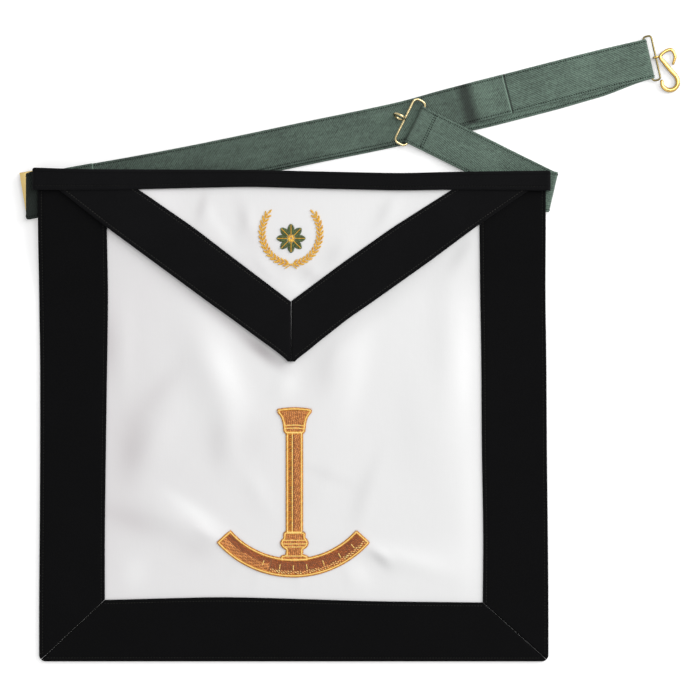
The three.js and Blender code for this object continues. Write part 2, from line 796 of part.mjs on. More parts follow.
// The hidden tab wraps the slide's inner bar and is sewn under the apron
function slideTab() {
  const fold = innerBarStart - turnReach;
  const end = fold + cornerTabLength;
  const path = roundedPath([
    [end, tabMiddle],
    [fold, tabMiddle],
    [fold, webbingMiddle(2)],
    [innerBarStart + slideBar, webbingMiddle(2)],
    [innerBarStart + slideBar + tabRise, tabMiddle - webbingPitch],
    [end - tabRise, tabMiddle - webbingPitch],
  ], tabTurnRadius, webbingRowStep);
  return beltRibbon(path, () => false);
}

// A plain block between two heights, over a rectangle
function block(left, right, front, back, low, high) {
  const corners = [[left, front], [right, front], [right, back], [left, back]];
  return loft([low, high].map((z) => corners.map(([x, y]) => [x, y, z])));
}

function strapSlide() {
  const width = 3 * slideBar + 2 * slideSlot;
  const slotHalf = webbingWidth / 2 + slideSlack;
  const half = slotHalf + slideEndBar;
  const low = slideShift - half;
  let plate = toSolid(block(0, width, low, low + 2 * half, 0, slideThickness));
  for (const start of [slideBar, 2 * slideBar + slideSlot]) {
    const slot = block(start, start + slideSlot, low + slideEndBar, low + slideEndBar + 2 * slotHalf,
      -1, slideThickness + 1);
    plate = plate.subtract(toSolid(slot));
  }
  const geometry = fromSolid(plate);
  const ahead = new THREE.Vector3(Math.cos(slideLean), Math.sin(slideLean), 0);
  const corner = beltStart.clone().addScaledVector(ahead, slideStart);
  geometry.rotateZ(slideLean);
  geometry.translate(corner.x, corner.y, slideUnderside);
  return geometry;
}

// The short strap folds at the corner on a line that turns it from sideways to its heading
const shortAhead = new THREE.Vector3(Math.cos(shortStrapHeading), Math.sin(shortStrapHeading), 0);
const shortAcross = new THREE.Vector3().crossVectors(shortAhead, upwards);
const shortFold = new THREE.Vector3(
  apronLeft + apronWidth + shortFoldOut,
  apronTop - shortFoldDown,
  0,
);
const foldSlope = shortStrapHeading / 2;
const foldAlong = new THREE.Vector3(Math.cos(foldSlope), Math.sin(foldSlope), 0);
const foldOutward = new THREE.Vector3(Math.sin(foldSlope), -Math.cos(foldSlope), 0);
const foldHalf = webbingWidth / 2 / Math.sin(foldSlope);
const catchWireHeight = 2 * webbingPitch + webbingThickness + wireGap + wireRadius;
const catchWire = shortStrapLength - wireRadius - wireGap - webbingThickness;

function shortStrap() {
  const tabHeight = rightRise - clothGap - webbingThickness / 2;
  const foldHeight = (tabHeight + webbingMiddle(0)) / 2;
  const foldRadius = (tabHeight - webbingMiddle(0)) / 2;
  const edges = [];
  for (const share of [1, 0.66, 0.33, 0.02]) {
    const back = new THREE.Vector3(-cornerTabLength * share, 0, tabHeight);
    edges.push({
      a: shortFold.clone().addScaledVector(foldAlong, foldHalf).add(back),
      b: shortFold.clone().addScaledVector(foldAlong, -foldHalf).add(back),
    });
  }
  for (const share of shares(8)) {
    const angle = Math.PI * (0.5 - share);
    const out = foldOutward.clone().multiplyScalar(foldRadius * Math.cos(angle));
    out.z = foldHeight + foldRadius * Math.sin(angle);
    edges.push({
      a: shortFold.clone().addScaledVector(foldAlong, foldHalf).add(out),
      b: shortFold.clone().addScaledVector(foldAlong, -foldHalf).add(out),
    });
  }
  const lead = foldHalf * Math.cos(shortStrapHeading - foldSlope);
  const flapEnd = catchWire - catchHemLength;
  const path = [
    ...roundedPath([
      [4, webbingMiddle(0)],
      [floorRun, webbingMiddle(0)],
      [climbRun, webbingMiddle(2)],
      [flapEnd - tabRise, webbingMiddle(2)],
      [flapEnd - 1, webbingMiddle(3)],
      [catchWire - foldEase, webbingMiddle(3) + 0.3],
      [catchWire, catchWireHeight + wireTurn],
    ], hemTurnRadius, webbingRowStep).slice(0, -1),
    ...halfTurn(catchWire, catchWireHeight, wireTurn, true),
    [flapEnd, webbingMiddle(2)],
  ];
  for (const [distance, height] of path) {
    const share = distance / shortStrapLength;
    const a = shortFold.clone().addScaledVector(foldAlong, foldHalf);
    const b = shortFold.clone().addScaledVector(foldAlong, -foldHalf);
    a.addScaledVector(shortAhead, distance - lead * share);
    b.addScaledVector(shortAhead, distance + lead * share);
    a.z = height;
    b.z = height;
    edges.push({ a, b });
  }
  return ribbon(edges, webbingThickness);
}

// A wire loop: a back bar, two rounded ends and a front bar, laid along two directions
function loopPoints(centre, ahead, across, depth, climb, endPlay) {
  const half = webbingWidth / 2 + endPlay + wireRadius;
  const bend = loopRounding * depth;
  const points = [];
  const corners = [[0, -half, 180], [depth, -half, 270], [depth, half, 0], [0, half, 90]];
  for (const [forward, sideways, turn] of corners) {
    const inwardForward = forward === 0 ? bend : -bend;
    const inwardSideways = sideways < 0 ? bend : -bend;
    for (const share of shares(3)) {
      const angle = THREE.MathUtils.degToRad(turn + 90 * share);
      const along = forward + inwardForward + bend * Math.cos(angle);
      const beside = sideways + inwardSideways + bend * Math.sin(angle);
      const point = centre.clone().addScaledVector(ahead, along).addScaledVector(across, beside);
      point.z += climb * (along / depth);
      points.push(point);
    }
  }
  return points;
}

const beltEnd = beltCurve.getPointAt(1);
const beltAhead = beltCurve.getTangentAt(1);
const hookAcross = new THREE.Vector3().crossVectors(upwards, beltAhead);
const hookPivot = beltEnd.clone().addScaledVector(beltAhead, hookWire - beltLength);
hookPivot.z = hookWireHeight;
const hookFrontHeight = hookRingRadius + wireRadius + 0.05;
const hookClimb = hookFrontHeight - hookWireHeight;
const hookBar = hookPivot.clone().addScaledVector(beltAhead, hookLoopDepth);
hookBar.z = hookFrontHeight;

function hookLoop() {
  const line = loopPoints(hookPivot, beltAhead, hookAcross, hookLoopDepth, hookClimb, hookEndPlay);
  return wire(line, wireRadius, 6, true);
}

function ringPoints(centre, first, second, radius, count) {
  return shares(count).slice(1).map((share) => {
    const angle = 2 * Math.PI * share;
    return centre.clone()
      .addScaledVector(first, radius * Math.cos(angle))
      .addScaledVector(second, radius * Math.sin(angle));
  });
}

// The snake hook lies flat, with its ring standing round the loop's front bar
function snakeHook() {
  const ring = wire(ringPoints(hookBar, beltAhead, upwards, hookRingRadius, 14), wireRadius, 6, true);
  const stops = hookLine.map(({ out, up }) => new THREE.Vector3(
    hookBar.x + hookWidth * out,
    hookBar.y + hookLength * up,
    THREE.MathUtils.lerp(hookFrontHeight, hookWireRadius + 0.1, Math.min(1, Math.max(0, out - 0.2) * 2)),
  ));
  const body = wire(new THREE.CatmullRomCurve3(stops).getPoints(36), hookWireRadius, 8, false);
  return fromSolid(toSolid(ring).add(toSolid(body)));
}

const catchPivot = shortFold.clone().addScaledVector(shortAhead, catchWire);
catchPivot.z = catchWireHeight;
const ringReach = catchRingRadius * Math.sin(catchRingTilt) + wireRadius;
const catchFrontHeight = 2 * webbingPitch + ringReach;

function catchLoop() {
  const climb = catchFrontHeight - catchWireHeight;
  const line = loopPoints(catchPivot, shortAhead, shortAcross, catchLoopDepth, climb, catchEndPlay);
  const frame = wire(line, wireRadius, 6, true);
  const centre = catchPivot.clone().addScaledVector(shortAhead, catchLoopDepth + catchRingRadius);
  centre.z = catchFrontHeight;
  const tilted = shortAcross.clone().multiplyScalar(Math.cos(catchRingTilt));
  tilted.addScaledVector(upwards, Math.sin(catchRingTilt));
  const ring = wire(ringPoints(centre, shortAhead, tilted, catchRingRadius, 18), wireRadius, 6, true);
  return fromSolid(toSolid(frame).add(toSolid(ring)));
}

// Embroidery stands a little above the satin that it follows
const emblemX = apronLeft + emblemCentre;
const columnX = apronLeft + columnCentre;
const threadUnder = (x, y) => undersideHeight(x, y) + satinWave(x, y) + satinThickness + threadGap;
const threadOver = (x, y) => threadUnder(x, y) + threadThickness;
const flapThreadUnder = above(flapLevel + satinThickness + threadGap);
const flapThreadOver = above(flapLevel + satinThickness + threadGap + threadThickness);

const arcCentreY = apronBottom + columnFoot + arcInnerRadius;

function columnPiece(rows, foot = []) {
  const footY = apronBottom + columnFoot;
  const half = columnWidth / 2;
  const right = rows.map((row) => [columnX + half * row.half, footY + columnHeight * row.at]);
  const left = rows.map((row) => [columnX - half * row.half, footY + columnHeight * row.at]).reverse();
  return raisedShape([...foot, ...right, ...left], threadUnder, threadOver);
}

// The column's foot follows the arc that it stands on
function columnBase() {
  const foot = shares(6).map((share) => {
    const x = columnX + columnFootHalf * (2 * share - 1);
    return [x, arcCentreY - Math.sqrt(arcInnerRadius ** 2 - (x - emblemX) ** 2)];
  });
  return columnPiece(baseOutline, foot);
}

function arcScale() {
  const rows = shares(28).map((share) => {
    const angle = THREE.MathUtils.lerp(-arcHalfAngle, arcHalfAngle, share);
    const inner = arcInnerRadius + threadGap;
    return [inner, arcInnerRadius + arcBandWidth].map((radius) => [
      emblemX + radius * Math.sin(angle),
      arcCentreY - radius * Math.cos(angle),
    ]);
  });
  return sheet(rows, threadUnder, threadOver);
}

// One spray: a stem on an upright oval, whose two sides break into leaves
function wreathSpray(sign) {
  const leafPlace = (outward, angle) => [
    flapMiddle + sign * (wreathHalfWidth + outward) * Math.sin(angle),
    apronTop - wreathDown - (wreathHalfHeight + outward) * Math.cos(angle),
  ];
  const stride = (wreathEnd - wreathStart) / leafPairs;
  const outside = [];
  const inside = [];
  for (const share of shares(leafPairs).slice(0, -1)) {
    const angle = THREE.MathUtils.lerp(wreathStart, wreathEnd, share);
    outside.push(leafPlace(stemHalf, angle));
    outside.push(leafPlace(0.52 * leafLength, angle + 0.8 * stride));
    outside.push(leafPlace(0.4 * leafLength, angle + 1.15 * stride));
    inside.push(leafPlace(-stemHalf, angle));
    inside.push(leafPlace(-0.52 * leafLength, angle + 0.8 * stride));
    inside.push(leafPlace(-0.4 * leafLength, angle + 1.15 * stride));
  }
  const tip = leafPlace(0, wreathEnd + stride);
  return raisedShape([...outside, tip, ...inside.reverse()], flapThreadUnder, flapThreadOver);
}

function rosette() {
  const outline = shares(rosettePetals * 6).slice(1).map((share) => {
    const angle = 2 * Math.PI * share;
    const radius = rosetteRadius * (0.82 + 0.18 * Math.cos(rosettePetals * angle));
    return [flapMiddle + radius * Math.cos(angle), apronTop - rosetteDown + radius * Math.sin(angle)];
  });
  return raisedShape(outline, flapThreadUnder, flapThreadOver);
}

addPiece('satin_panel', satinPanel(), satinWhite);
addPiece('border_left', sideBand(false), velvetBlack);
addPiece('border_right', sideBand(true), velvetBlack);
addPiece('border_bottom', bottomBand(), velvetBlack);
addPiece('flap_panel', flapPanel(), satinWhite);
addPiece('flap_border_left', flapBand('left'), velvetBlack);
addPiece('flap_border_right', flapBand('right'), velvetBlack);
addPiece('waistband', waistband(), velvetBlack);
addPiece('long_strap', longStrap(), webbingGreen);
addPiece('hook_strap', hookStrap(), webbingGreen);
addPiece('slide_tab', slideTab(), webbingGreen);
addPiece('strap_slide', strapSlide(), brass);
addPiece('short_strap', shortStrap(), webbingGreen);
addPiece('hook_loop', hookLoop(), brass);
addPiece('snake_hook', snakeHook(), brass);
addPiece('catch_loop', catchLoop(), brass);
addPiece('column_base', columnBase(), threadBronze);
addPiece('column_shaft', columnPiece(shaftOutline), threadBronze);
addPiece('column_capital', columnPiece(capitalOutline), threadBronze);
addPiece('arc_scale', arcScale(), threadBronze);
addPiece('wreath_left', wreathSpray(-1), threadGold);
addPiece('wreath_right', wreathSpray(1), threadGold);
addPiece('rosette', rosette(), threadGreen);

export default apron;
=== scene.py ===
"""Dresses a lodge apron laid flat: satin, velvet bands, a webbing belt, brass fittings and embroidery.

Lengths inside the script are in millimetres, as a maker measures them, and become metres in each mesh.
"""

import math

import bpy
import numpy as np
from bpy.props import FloatProperty, FloatVectorProperty, IntProperty, PointerProperty
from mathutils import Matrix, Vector


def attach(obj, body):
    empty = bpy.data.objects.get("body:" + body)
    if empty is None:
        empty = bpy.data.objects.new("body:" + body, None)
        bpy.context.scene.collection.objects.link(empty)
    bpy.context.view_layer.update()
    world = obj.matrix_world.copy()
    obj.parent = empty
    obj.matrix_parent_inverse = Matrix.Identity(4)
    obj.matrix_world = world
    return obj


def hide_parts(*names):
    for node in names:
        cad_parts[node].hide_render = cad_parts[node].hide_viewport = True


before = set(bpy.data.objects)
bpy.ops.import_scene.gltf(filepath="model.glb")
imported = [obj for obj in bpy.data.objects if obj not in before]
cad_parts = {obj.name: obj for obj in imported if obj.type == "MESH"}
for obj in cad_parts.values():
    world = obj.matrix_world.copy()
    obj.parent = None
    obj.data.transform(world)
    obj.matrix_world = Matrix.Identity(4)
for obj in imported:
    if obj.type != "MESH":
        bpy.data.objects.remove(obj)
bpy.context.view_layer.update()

bl_info = {
    "name": "Lodge Apron",
    "version": (1, 0, 0),
    "blender": (4, 5, 0),
    "location": "View3D > Sidebar > Apron",
    "description": "Makes the cloth, belt, brass and embroidery of a lodge apron laid flat",
    "category": "Object",
}

METRES = 0.001

# Apron and bands
APRON_LEFT = -247.7
APRON_BOTTOM = -250.5
APRON_WIDTH = 406
APRON_HEIGHT = 392.8
APRON_TOP = APRON_BOTTOM + APRON_HEIGHT
SIDE_BAND = 53.2
BOTTOM_BAND = 49.6
CORNER_RADIUS = 5
SATIN_THICK = 1.0
VELVET_THICK = 1.2
CLOTH_GAP = 0.4
SEAM_GAP = 0.4
FLAP_SEAM = 0.06
THREAD_RISE = 0.12
GROOVE_DEPTH = 0.35
SEAM_TRIM = 1.5
MITRE_TRIM = 3.0
TOPSTITCH_PITCH = 2.35
TOPSTITCH_LENGTH = 1.5
TOPSTITCH_RADIUS = 0.27
TOP_TUCK = 0.17
FLAP_BAND_WIDTH = 39.0

# Flat sizes and areas of the sheets, in metres
SATIN_FLAT = (0.403, 0.388)
FLAP_FLAT = (0.39, 0.134)
FLAP_AREA = 0.0275
FLAP_BAND_FLAT = (0.042, 0.245)
FLAP_BAND_AREA = 0.0085
WAIST_FLAT = (0.024, 0.413)
TURNED_EDGE = 0.003

# Flap and waistband
FLAP_MIDDLE = APRON_LEFT + 201.3
FLAP_HALF = 187.6
FLAP_DROP = 137
FLAP_TUCK = 8
FLAP_BAND_SPAN = 66
WAIST_HEIGHT = 14.4
WAIST_OVERHANG = 4.6
FLAP_START = APRON_TOP - WAIST_HEIGHT * 1.1

# Heights of the cloth layers above the apron's underside
BAND_LEVEL = SATIN_THICK + CLOTH_GAP
FLAP_LEVEL = BAND_LEVEL + VELVET_THICK + CLOTH_GAP
FLAP_BAND_LEVEL = FLAP_LEVEL + SATIN_THICK + CLOTH_GAP
WAIST_LEVEL = FLAP_BAND_LEVEL + VELVET_THICK + CLOTH_GAP

# Webbing and its layers from the floor up
WEB_WIDTH = 32
WEB_THICK = 1.0
WEB_PITCH = 1.3
WEB_ROW = 2.0
RIBBED_WEAVE = (1500, 4200)
TWILLED_WEAVE = (3000, 2600)
SLANTED_WEAVE = (4200, 1300)
# Painted light along the long strap from its hem, in mm: a painted highlight on the hem's edge, painted shade
# below the step down a layer: middle, reach, depth
HEM_PAINTED_LIGHT = ((0.4, 0.7, -0.5), (17, 8, -0.12), (33, 6, 0.8), (46, 14, 0.3))
BELT_STITCH_SHARE = 0.42
BELT_STITCH_RADIUS = 0.5
STITCH_IN = 1.9
SEAM_DEPTH = 0.82
CORNER_EASE = 3.0
SLIDE_COVER = 3.1
SLIDE_TOP_COVER = 3.0
FOLD_LEAN = 2.0
FOLD_PUSH = 1.3
BELT_RUN = 498.6
BELT_RISE = 110.4
BELT_START = (APRON_LEFT - 9.8, APRON_TOP - 20.8)
CORNER_TAB = 42

# Brass
WIRE_RADIUS = 0.8
WIRE_GAP = 0.3
SLIDE_END_BAR = 1.7
SLIDE_SHIFT = 0.7
SLIDE_THICK = 1.4
SLIDE_BAR = 2.6
SLIDE_SLOT = 6.4
SLIDE_SLACK = 1.2
SLIDE_LIP = 2.4
SLIDE_LEAN = math.radians(9.5)
LOOP_ROUNDING = 0.36
HOOK_END_PLAY = 1.2
HOOK_LOOP_DEPTH = 6.4
HOOK_RING = 1.95
CATCH_END_PLAY = 2.4
CATCH_DEPTH = 10.2
CATCH_RING = 4.6
CATCH_TILT = math.radians(75)
CATCH_RADIUS = 0.92

# Embroidery
THREAD_LIFT = 0.75
BORDER_LIFT = THREAD_LIFT + 0.15
OUTLINE_LIFT = THREAD_LIFT + 0.3
LEAF_LIFT = 0.5
STEM_LIFT = 0.65
PETAL_LIFT = 0.55
PAD_THICK = 0.5
FILL_BULGE = 0.3
CORD_PITCH = 0.42
CORD_REACH = 0.6
CORD_LEAN = 0.45
CORD_BULGE = 0.4
BORDER_WIDTH = 2.7
OUTLINE_WIDTH = 1.35
LINE_WIDTH = 0.95
COLUMN_HEIGHT = 121
COLUMN_HALF = 12.8
COLUMN_FOOT = APRON_BOTTOM + 81.4
EMBLEM_X = APRON_LEFT + 203
COLUMN_X = APRON_LEFT + 203.9
ARC_INNER = 67.6
ARC_BAND = 13.2
ARC_HALF_ANGLE = math.radians(48)
ARC_CENTRE_Y = COLUMN_FOOT + ARC_INNER
WREATH_Y = APRON_TOP - 50
WREATH_HALF_WIDTH = 23.2
WREATH_HALF_HEIGHT = 24.8
WREATH_START = math.radians(5)
WREATH_END = math.radians(128)
LEAF_PAIRS = 14
TAIL = ((4.0, -0.17), (1.9, -0.08), (0.4, 0.02))
PETALS = 8
ROSETTE_Y = APRON_TOP - 54.5

# Edges of the apron: share up it, then shares of the width or of the band
LEFT_EDGE = (
    (0, -0.001), (0.13, -0.001), (0.25, 0), (0.43, 0.001), (0.62, 0.001), (0.74, -0.001), (1, -0.002),
)
RIGHT_EDGE = (
    (0, 1.003), (0.13, 1.003), (0.25, 1.002), (0.43, 1), (0.62, 0.999), (0.74, 0.997), (1, 0.997),
)
LEFT_BAND = ((0, 0.99), (0.13, 0.99), (0.25, 0.98), (0.43, 0.99), (0.62, 1.01), (0.74, 1.04), (1, 1.03))
RIGHT_BAND = ((0, 0.99), (0.13, 0.99), (0.25, 0.97), (0.43, 0.98), (0.74, 0.98), (1, 1.01))
LOWER_BAND = ((0, 0.99), (0.17, 1.02), (0.31, 1.04), (0.45, 1.02), (0.71, 0.97), (1, 0.95))
WAIST_RAISED = (
    (0, 0.14), (0.04, 0.08), (0.13, 0.03), (0.3, 0.03), (0.42, 0.02), (0.56, -0.08), (0.71, -0.17),
    (0.81, -0.10), (1, -0.03),
)
WAIST_DEPTH = (
    (0, 1.25), (0.04, 1.2), (0.13, 1.16), (0.21, 1.11), (0.3, 1.03), (0.42, 0.95), (0.56, 0.96),
    (0.71, 0.97), (0.81, 1), (1, 1.12),
)

# Flap: share down it, then shares of its half width, or of the band's span
FLAP_LEFT = (
    (-0.058, 1.04), (0, 0.986), (0.216, 0.786), (0.41, 0.594), (0.655, 0.351), (0.743, 0.261),
    (0.877, 0.128), (0.936, 0.068), (0.978, 0.03), (1, 0.01),
)
FLAP_RIGHT = (
    (-0.058, 1.073), (0, 1.014), (0.216, 0.786), (0.41, 0.596), (0.655, 0.344), (0.743, 0.25),
    (0.877, 0.125), (0.936, 0.073), (0.978, 0.033), (1, 0.012),
)
FLAP_LEFT_BAND = ((-0.058, 0.9), (0, 0.97), (0.216, 1.05), (0.41, 1.03), (0.655, 1.01), (1, 1))
FLAP_RIGHT_BAND = ((-0.058, 0.89), (0, 0.94), (0.216, 1), (0.41, 1.03), (0.655, 1), (1, 1))
FLAP_SIDES = {"left": (-1, FLAP_LEFT, FLAP_LEFT_BAND), "right": (1, FLAP_RIGHT, FLAP_RIGHT_BAND)}

# Middle line of the belt as shares of its run and rise, and how far its lower layer slips out
BELT_LINE = (
    (0, 0), (0.06, 0.056), (0.188, 0.159), (0.285, 0.243), (0.446, 0.395), (0.607, 0.549),
    (0.671, 0.629), (0.77, 0.744), (0.927, 0.925), (1, 1),
)
BELT_SLIP = (
    (0, 0), (0.1, 0.06), (0.45, 0.07), (0.62, 0.08), (0.72, 0.19), (0.84, 0.19), (0.92, 0.15),
    (0.97, 0.03), (0.985, 0), (1, 0),
)
STRAP_HEM = 0.769
STEP_TOP = 0.722
STEP_FOOT = 0.702
HOOK_HEM = 0.727
WEBBING_JOIN = 0.66

# Snake hook: its middle line from the short curl to the open one, in shares of its width and length
HOOK_WIDTH = 17.8
HOOK_LENGTH = 32
HOOK_BODY_UP = 1.95
HOOK_THICKNESS = (
    (0, 0.95), (0.06, 1.2), (0.2, 1.45), (0.32, 1.2), (0.36, 1.5), (0.45, 1.85), (0.7, 1.85), (0.85, 1.9),
    (0.95, 1.7), (1, 1.3),
)
HOOK_LINE = (
    (0.79, -0.16), (0.87, 0.03), (0.71, 0.19), (0.43, 0.15), (0.2, 0.01), (0.38, -0.13), (0.65, -0.31),
    (0.94, -0.5), (0.99, -0.67), (0.8, -0.8), (0.53, -0.81), (0.31, -0.72), (0.27, -0.6),
)


def read(table, place, ease=0.0):
    """Reads a table between its rows, with its kinks eased over a share of the table's length."""
    rows = np.array(table, dtype=float)
    place = np.asarray(place, dtype=float)
    if not ease:
        return np.interp(place, rows[:, 0], rows[:, 1])
    offsets = np.linspace(-ease, ease, 9)
    return np.mean([np.interp(place + offset, rows[:, 0], rows[:, 1]) for offset in offsets], axis=0)


def soft(share):
    """Eases a share from 0 to 1 in and out."""
    return 0.5 - 0.5 * np.cos(np.pi * np.clip(share, 0, 1))


def hump(distance, reach):
    """A soft bump: 1 at no distance, nearly 0 past twice the reach."""
    return np.exp(-((distance / reach) ** 2))


# What lies behind the top edge lifts the apron there
SLIDE_UNDER = 3 * WEB_PITCH
TAB_MIDDLE = SLIDE_UNDER + SLIDE_THICK + WIRE_GAP + WEB_THICK / 2
LEFT_RISE = TAB_MIDDLE + WEB_THICK / 2 + CLOTH_GAP
MIDDLE_RISE = 2 * WEB_PITCH + CLOTH_GAP / 2
RIGHT_RISE = 4 * WEB_PITCH
RISE_FOOT = 0.73
RISE_HEAD = 0.895
RISES = (
    (0, LEFT_RISE), (0.15, LEFT_RISE), (0.3, MIDDLE_RISE), (0.7, MIDDLE_RISE),
    (0.83, RIGHT_RISE * 0.92), (1, RIGHT_RISE),
)


def underside(x, y):
    """Height of the apron's underside above the floor."""
    across = (np.asarray(x) - APRON_LEFT) / APRON_WIDTH
    up = (np.asarray(y) - APRON_BOTTOM) / APRON_HEIGHT
    height = np.full(np.shape(across), RISES[0][1], dtype=float)
    for (start, low), (end, high) in zip(RISES, RISES[1:]):
        height = height + (high - low) * soft((across - start) / (end - start))
    return height * soft((up - RISE_FOOT) / (RISE_HEAD - RISE_FOOT))


# Creases of the satin: middle x and y, heading in degrees, half length, half width, height
SATIN_CREASES = (
    (-110, -18, -68, 42, 17, 3.0),
    (-158, -76, 63, 32, 13, 2.6),
    (-98, -70, 95, 22, 11, 1.6),
    (-130, -144, -27, 36, 12, 2.8),
    (-114, -149, -30, 13, 4.5, 1.2),
    (-181, 0, 90, 34, 7, 1.1),
    (-168, -180, 100, 18, 8, 1.0),
    (-12, -10, 55, 30, 12, 2.0),
    (80, -10, 88, 95, 13, 2.3),
    (60, -58, 92, 44, 17, 1.8),
    (44, -170, -17, 38, 8, 2.2),
    (24, -165, -31, 12, 3.6, 1.5),
    (11, -121, 74, 22, 7, 1.1),
    (-52, -28, 62, 12, 8, 1.0),
    (-20, -112, 50, 20, 8, 0.7),
    (-74, -115, 120, 20, 8, 0.8),
    (-40, -185, 96, 10, 4, 0.7),
    (-72, -180, 70, 12, 4, 0.7),
    (0, -183, 112, 10, 4, 0.6),
    (-88, -172, 52, 12, 4, 0.8),
)
FLAP_CREASES = (
    (-83, 96, 80, 13, 6, 0.8),
    (-114, 108, 78, 9, 6, 0.6),
    (29, 108, 62, 16, 6, 0.8),
    (-10, 80, 58, 13, 8, 0.7),
    (-33, 55, 44, 10, 5, 0.8),
    (-68, 66, 128, 12, 6, 0.5),
)


# Painted light on the satin: patches of painted shade and painted highlight where its folds turn from or
# towards the light, and the flap's painted shadow: middle x and y, heading in degrees, reach along and
# across, depth (below 0 is brighter, a painted highlight)
SATIN_PAINTED_LIGHT = (
    (-174, -79, 82, 26, 12, 0.9),
    (-153, -35, 50, 28, 9, 0.5),
    (-193, 3, 90, 26, 7, 0.9),
    (-185, -60, 90, 110, 42, 0.4),
    (-105, -77, 90, 22, 10, 0.5),
    (-123, -131, -34, 30, 6, -0.9),
    (-175, -137, -20, 28, 11, 0.8),
    (-172, -180, 100, 14, 9, -0.6),
    (-98, -19, -66, 34, 12, -0.9),
    (-78, -71, 90, 18, 12, 0.35),
    (-122, -161, 0, 14, 10, 0.4),
    (-48, -30, 0, 13, 13, -0.5),
    (-69, -3, -37, 19, 5, 2.8),
    (-103, 24, -36, 34, 4, 0.9),
    (-18, -19, 80, 20, 8, 0.6),
    (7, -21, 77, 36, 9, -0.7),
    (-19, -101, -22, 24, 5, 0.4),
    (15, -111, 74, 28, 6, 0.6),
    (93, -13, 90, 44, 8, -1.0),
    (97, -121, 90, 75, 9, -0.7),
    (89, 77, 60, 17, 6, 1.2),
    (21, 31, 41, 48, 8, 0.5),
    (25, -169, -48, 11, 4, 1.3),
    (10, -179, -60, 12, 6, -0.7),
    (73, -169, 0, 30, 15, -0.4),
)
# Painted shade and painted highlight on the flap's satin, in the same columns
FLAP_PAINTED_LIGHT = (
    (-118, 114, 75, 12, 4, 0.8),
    (-83, 100, -72, 18, 5, 0.9),
    (-101, 94, -55, 16, 5, -0.6),
    (-31, 59, -35, 12, 5, 0.8),
    (-41, 50, -30, 9, 6, -0.7),
    (30, 110, 62, 14, 5, 0.7),
    (-11, 77, 60, 14, 5, 0.5),
    (-60, 72, 120, 12, 5, 0.4),
)


SWELL_FADE = 0.35
FLAP_PRESS = 14
PRESSED_SWELL = 1.1


def crease_height(x, y, creases):
    """Sum of soft creases, or of patches of painted light, at places on a cloth."""
    height = np.zeros(np.shape(x))
    for middle_x, middle_y, heading, half_length, half_width, crest in creases:
        angle = math.radians(heading)
        along = (x - middle_x) * math.cos(angle) + (y - middle_y) * math.sin(angle)
        beside = (y - middle_y) * math.cos(angle) - (x - middle_x) * math.sin(angle)
        height = height + crest * hump(along, half_length) * hump(beside, half_width)
    return height


def shade_cloth(piece, painted_light):
    """Stores on a cloth how far its painted shade darkens it and its painted highlight lightens it, as an
    attribute of its points.
    """
    places = np.empty(len(piece.data.vertices) * 3)
    piece.data.vertices.foreach_get("co", places)
    x, y = places.reshape(-1, 3)[:, :2].T / METRES
    shades = piece.data.attributes.new("shade", "FLOAT", "POINT")
    shades.data.foreach_set("value", crease_height(x, y, painted_light).astype(np.float32))


def satin_swell(x, y):
    """Height of the satin's folds over its flat panel, fading out under the bands and the flap."""
    across = (x - APRON_LEFT - SIDE_BAND) / (APRON_WIDTH - 2 * SIDE_BAND)
    up = (y - APRON_BOTTOM - BOTTOM_BAND) / (APRON_HEIGHT - BOTTOM_BAND - WAIST_HEIGHT)
    inside = np.sin(np.pi * np.clip(across, 0, 1)) ** SWELL_FADE
    inside = inside * np.sin(np.pi * np.clip(up, 0, 1)) ** SWELL_FADE
    flap_foot = FLAP_START - FLAP_DROP * (1 - np.abs(x - FLAP_MIDDLE) / FLAP_HALF)
    covered = soft((y - flap_foot + FLAP_PRESS) / 24)
    height = crease_height(x, y, SATIN_CREASES)
    low = PRESSED_SWELL * np.tanh(height / PRESSED_SWELL)
    return (height + (low - height) * covered) * inside


def left_edge(y):
    return APRON_LEFT + APRON_WIDTH * read(LEFT_EDGE, (y - APRON_BOTTOM) / APRON_HEIGHT, 0.05)


def right_edge(y):
    return APRON_LEFT + APRON_WIDTH * read(RIGHT_EDGE, (y - APRON_BOTTOM) / APRON_HEIGHT, 0.05)


def left_band_edge(y):
    return left_edge(y) + SIDE_BAND * read(LEFT_BAND, (y - APRON_BOTTOM) / APRON_HEIGHT, 0.06)


def right_band_edge(y):
    return right_edge(y) - SIDE_BAND * read(RIGHT_BAND, (y - APRON_BOTTOM) / APRON_HEIGHT, 0.06)


def bottom_band_edge(across):
    return APRON_BOTTOM + BOTTOM_BAND * read(LOWER_BAND, across, 0.06)


def waist_top(across):
    return APRON_TOP + WAIST_HEIGHT * read(WAIST_RAISED, across, 0.03)


def waist_bottom(across):
    return waist_top(across) - WAIST_HEIGHT * read(WAIST_DEPTH, across, 0.03)


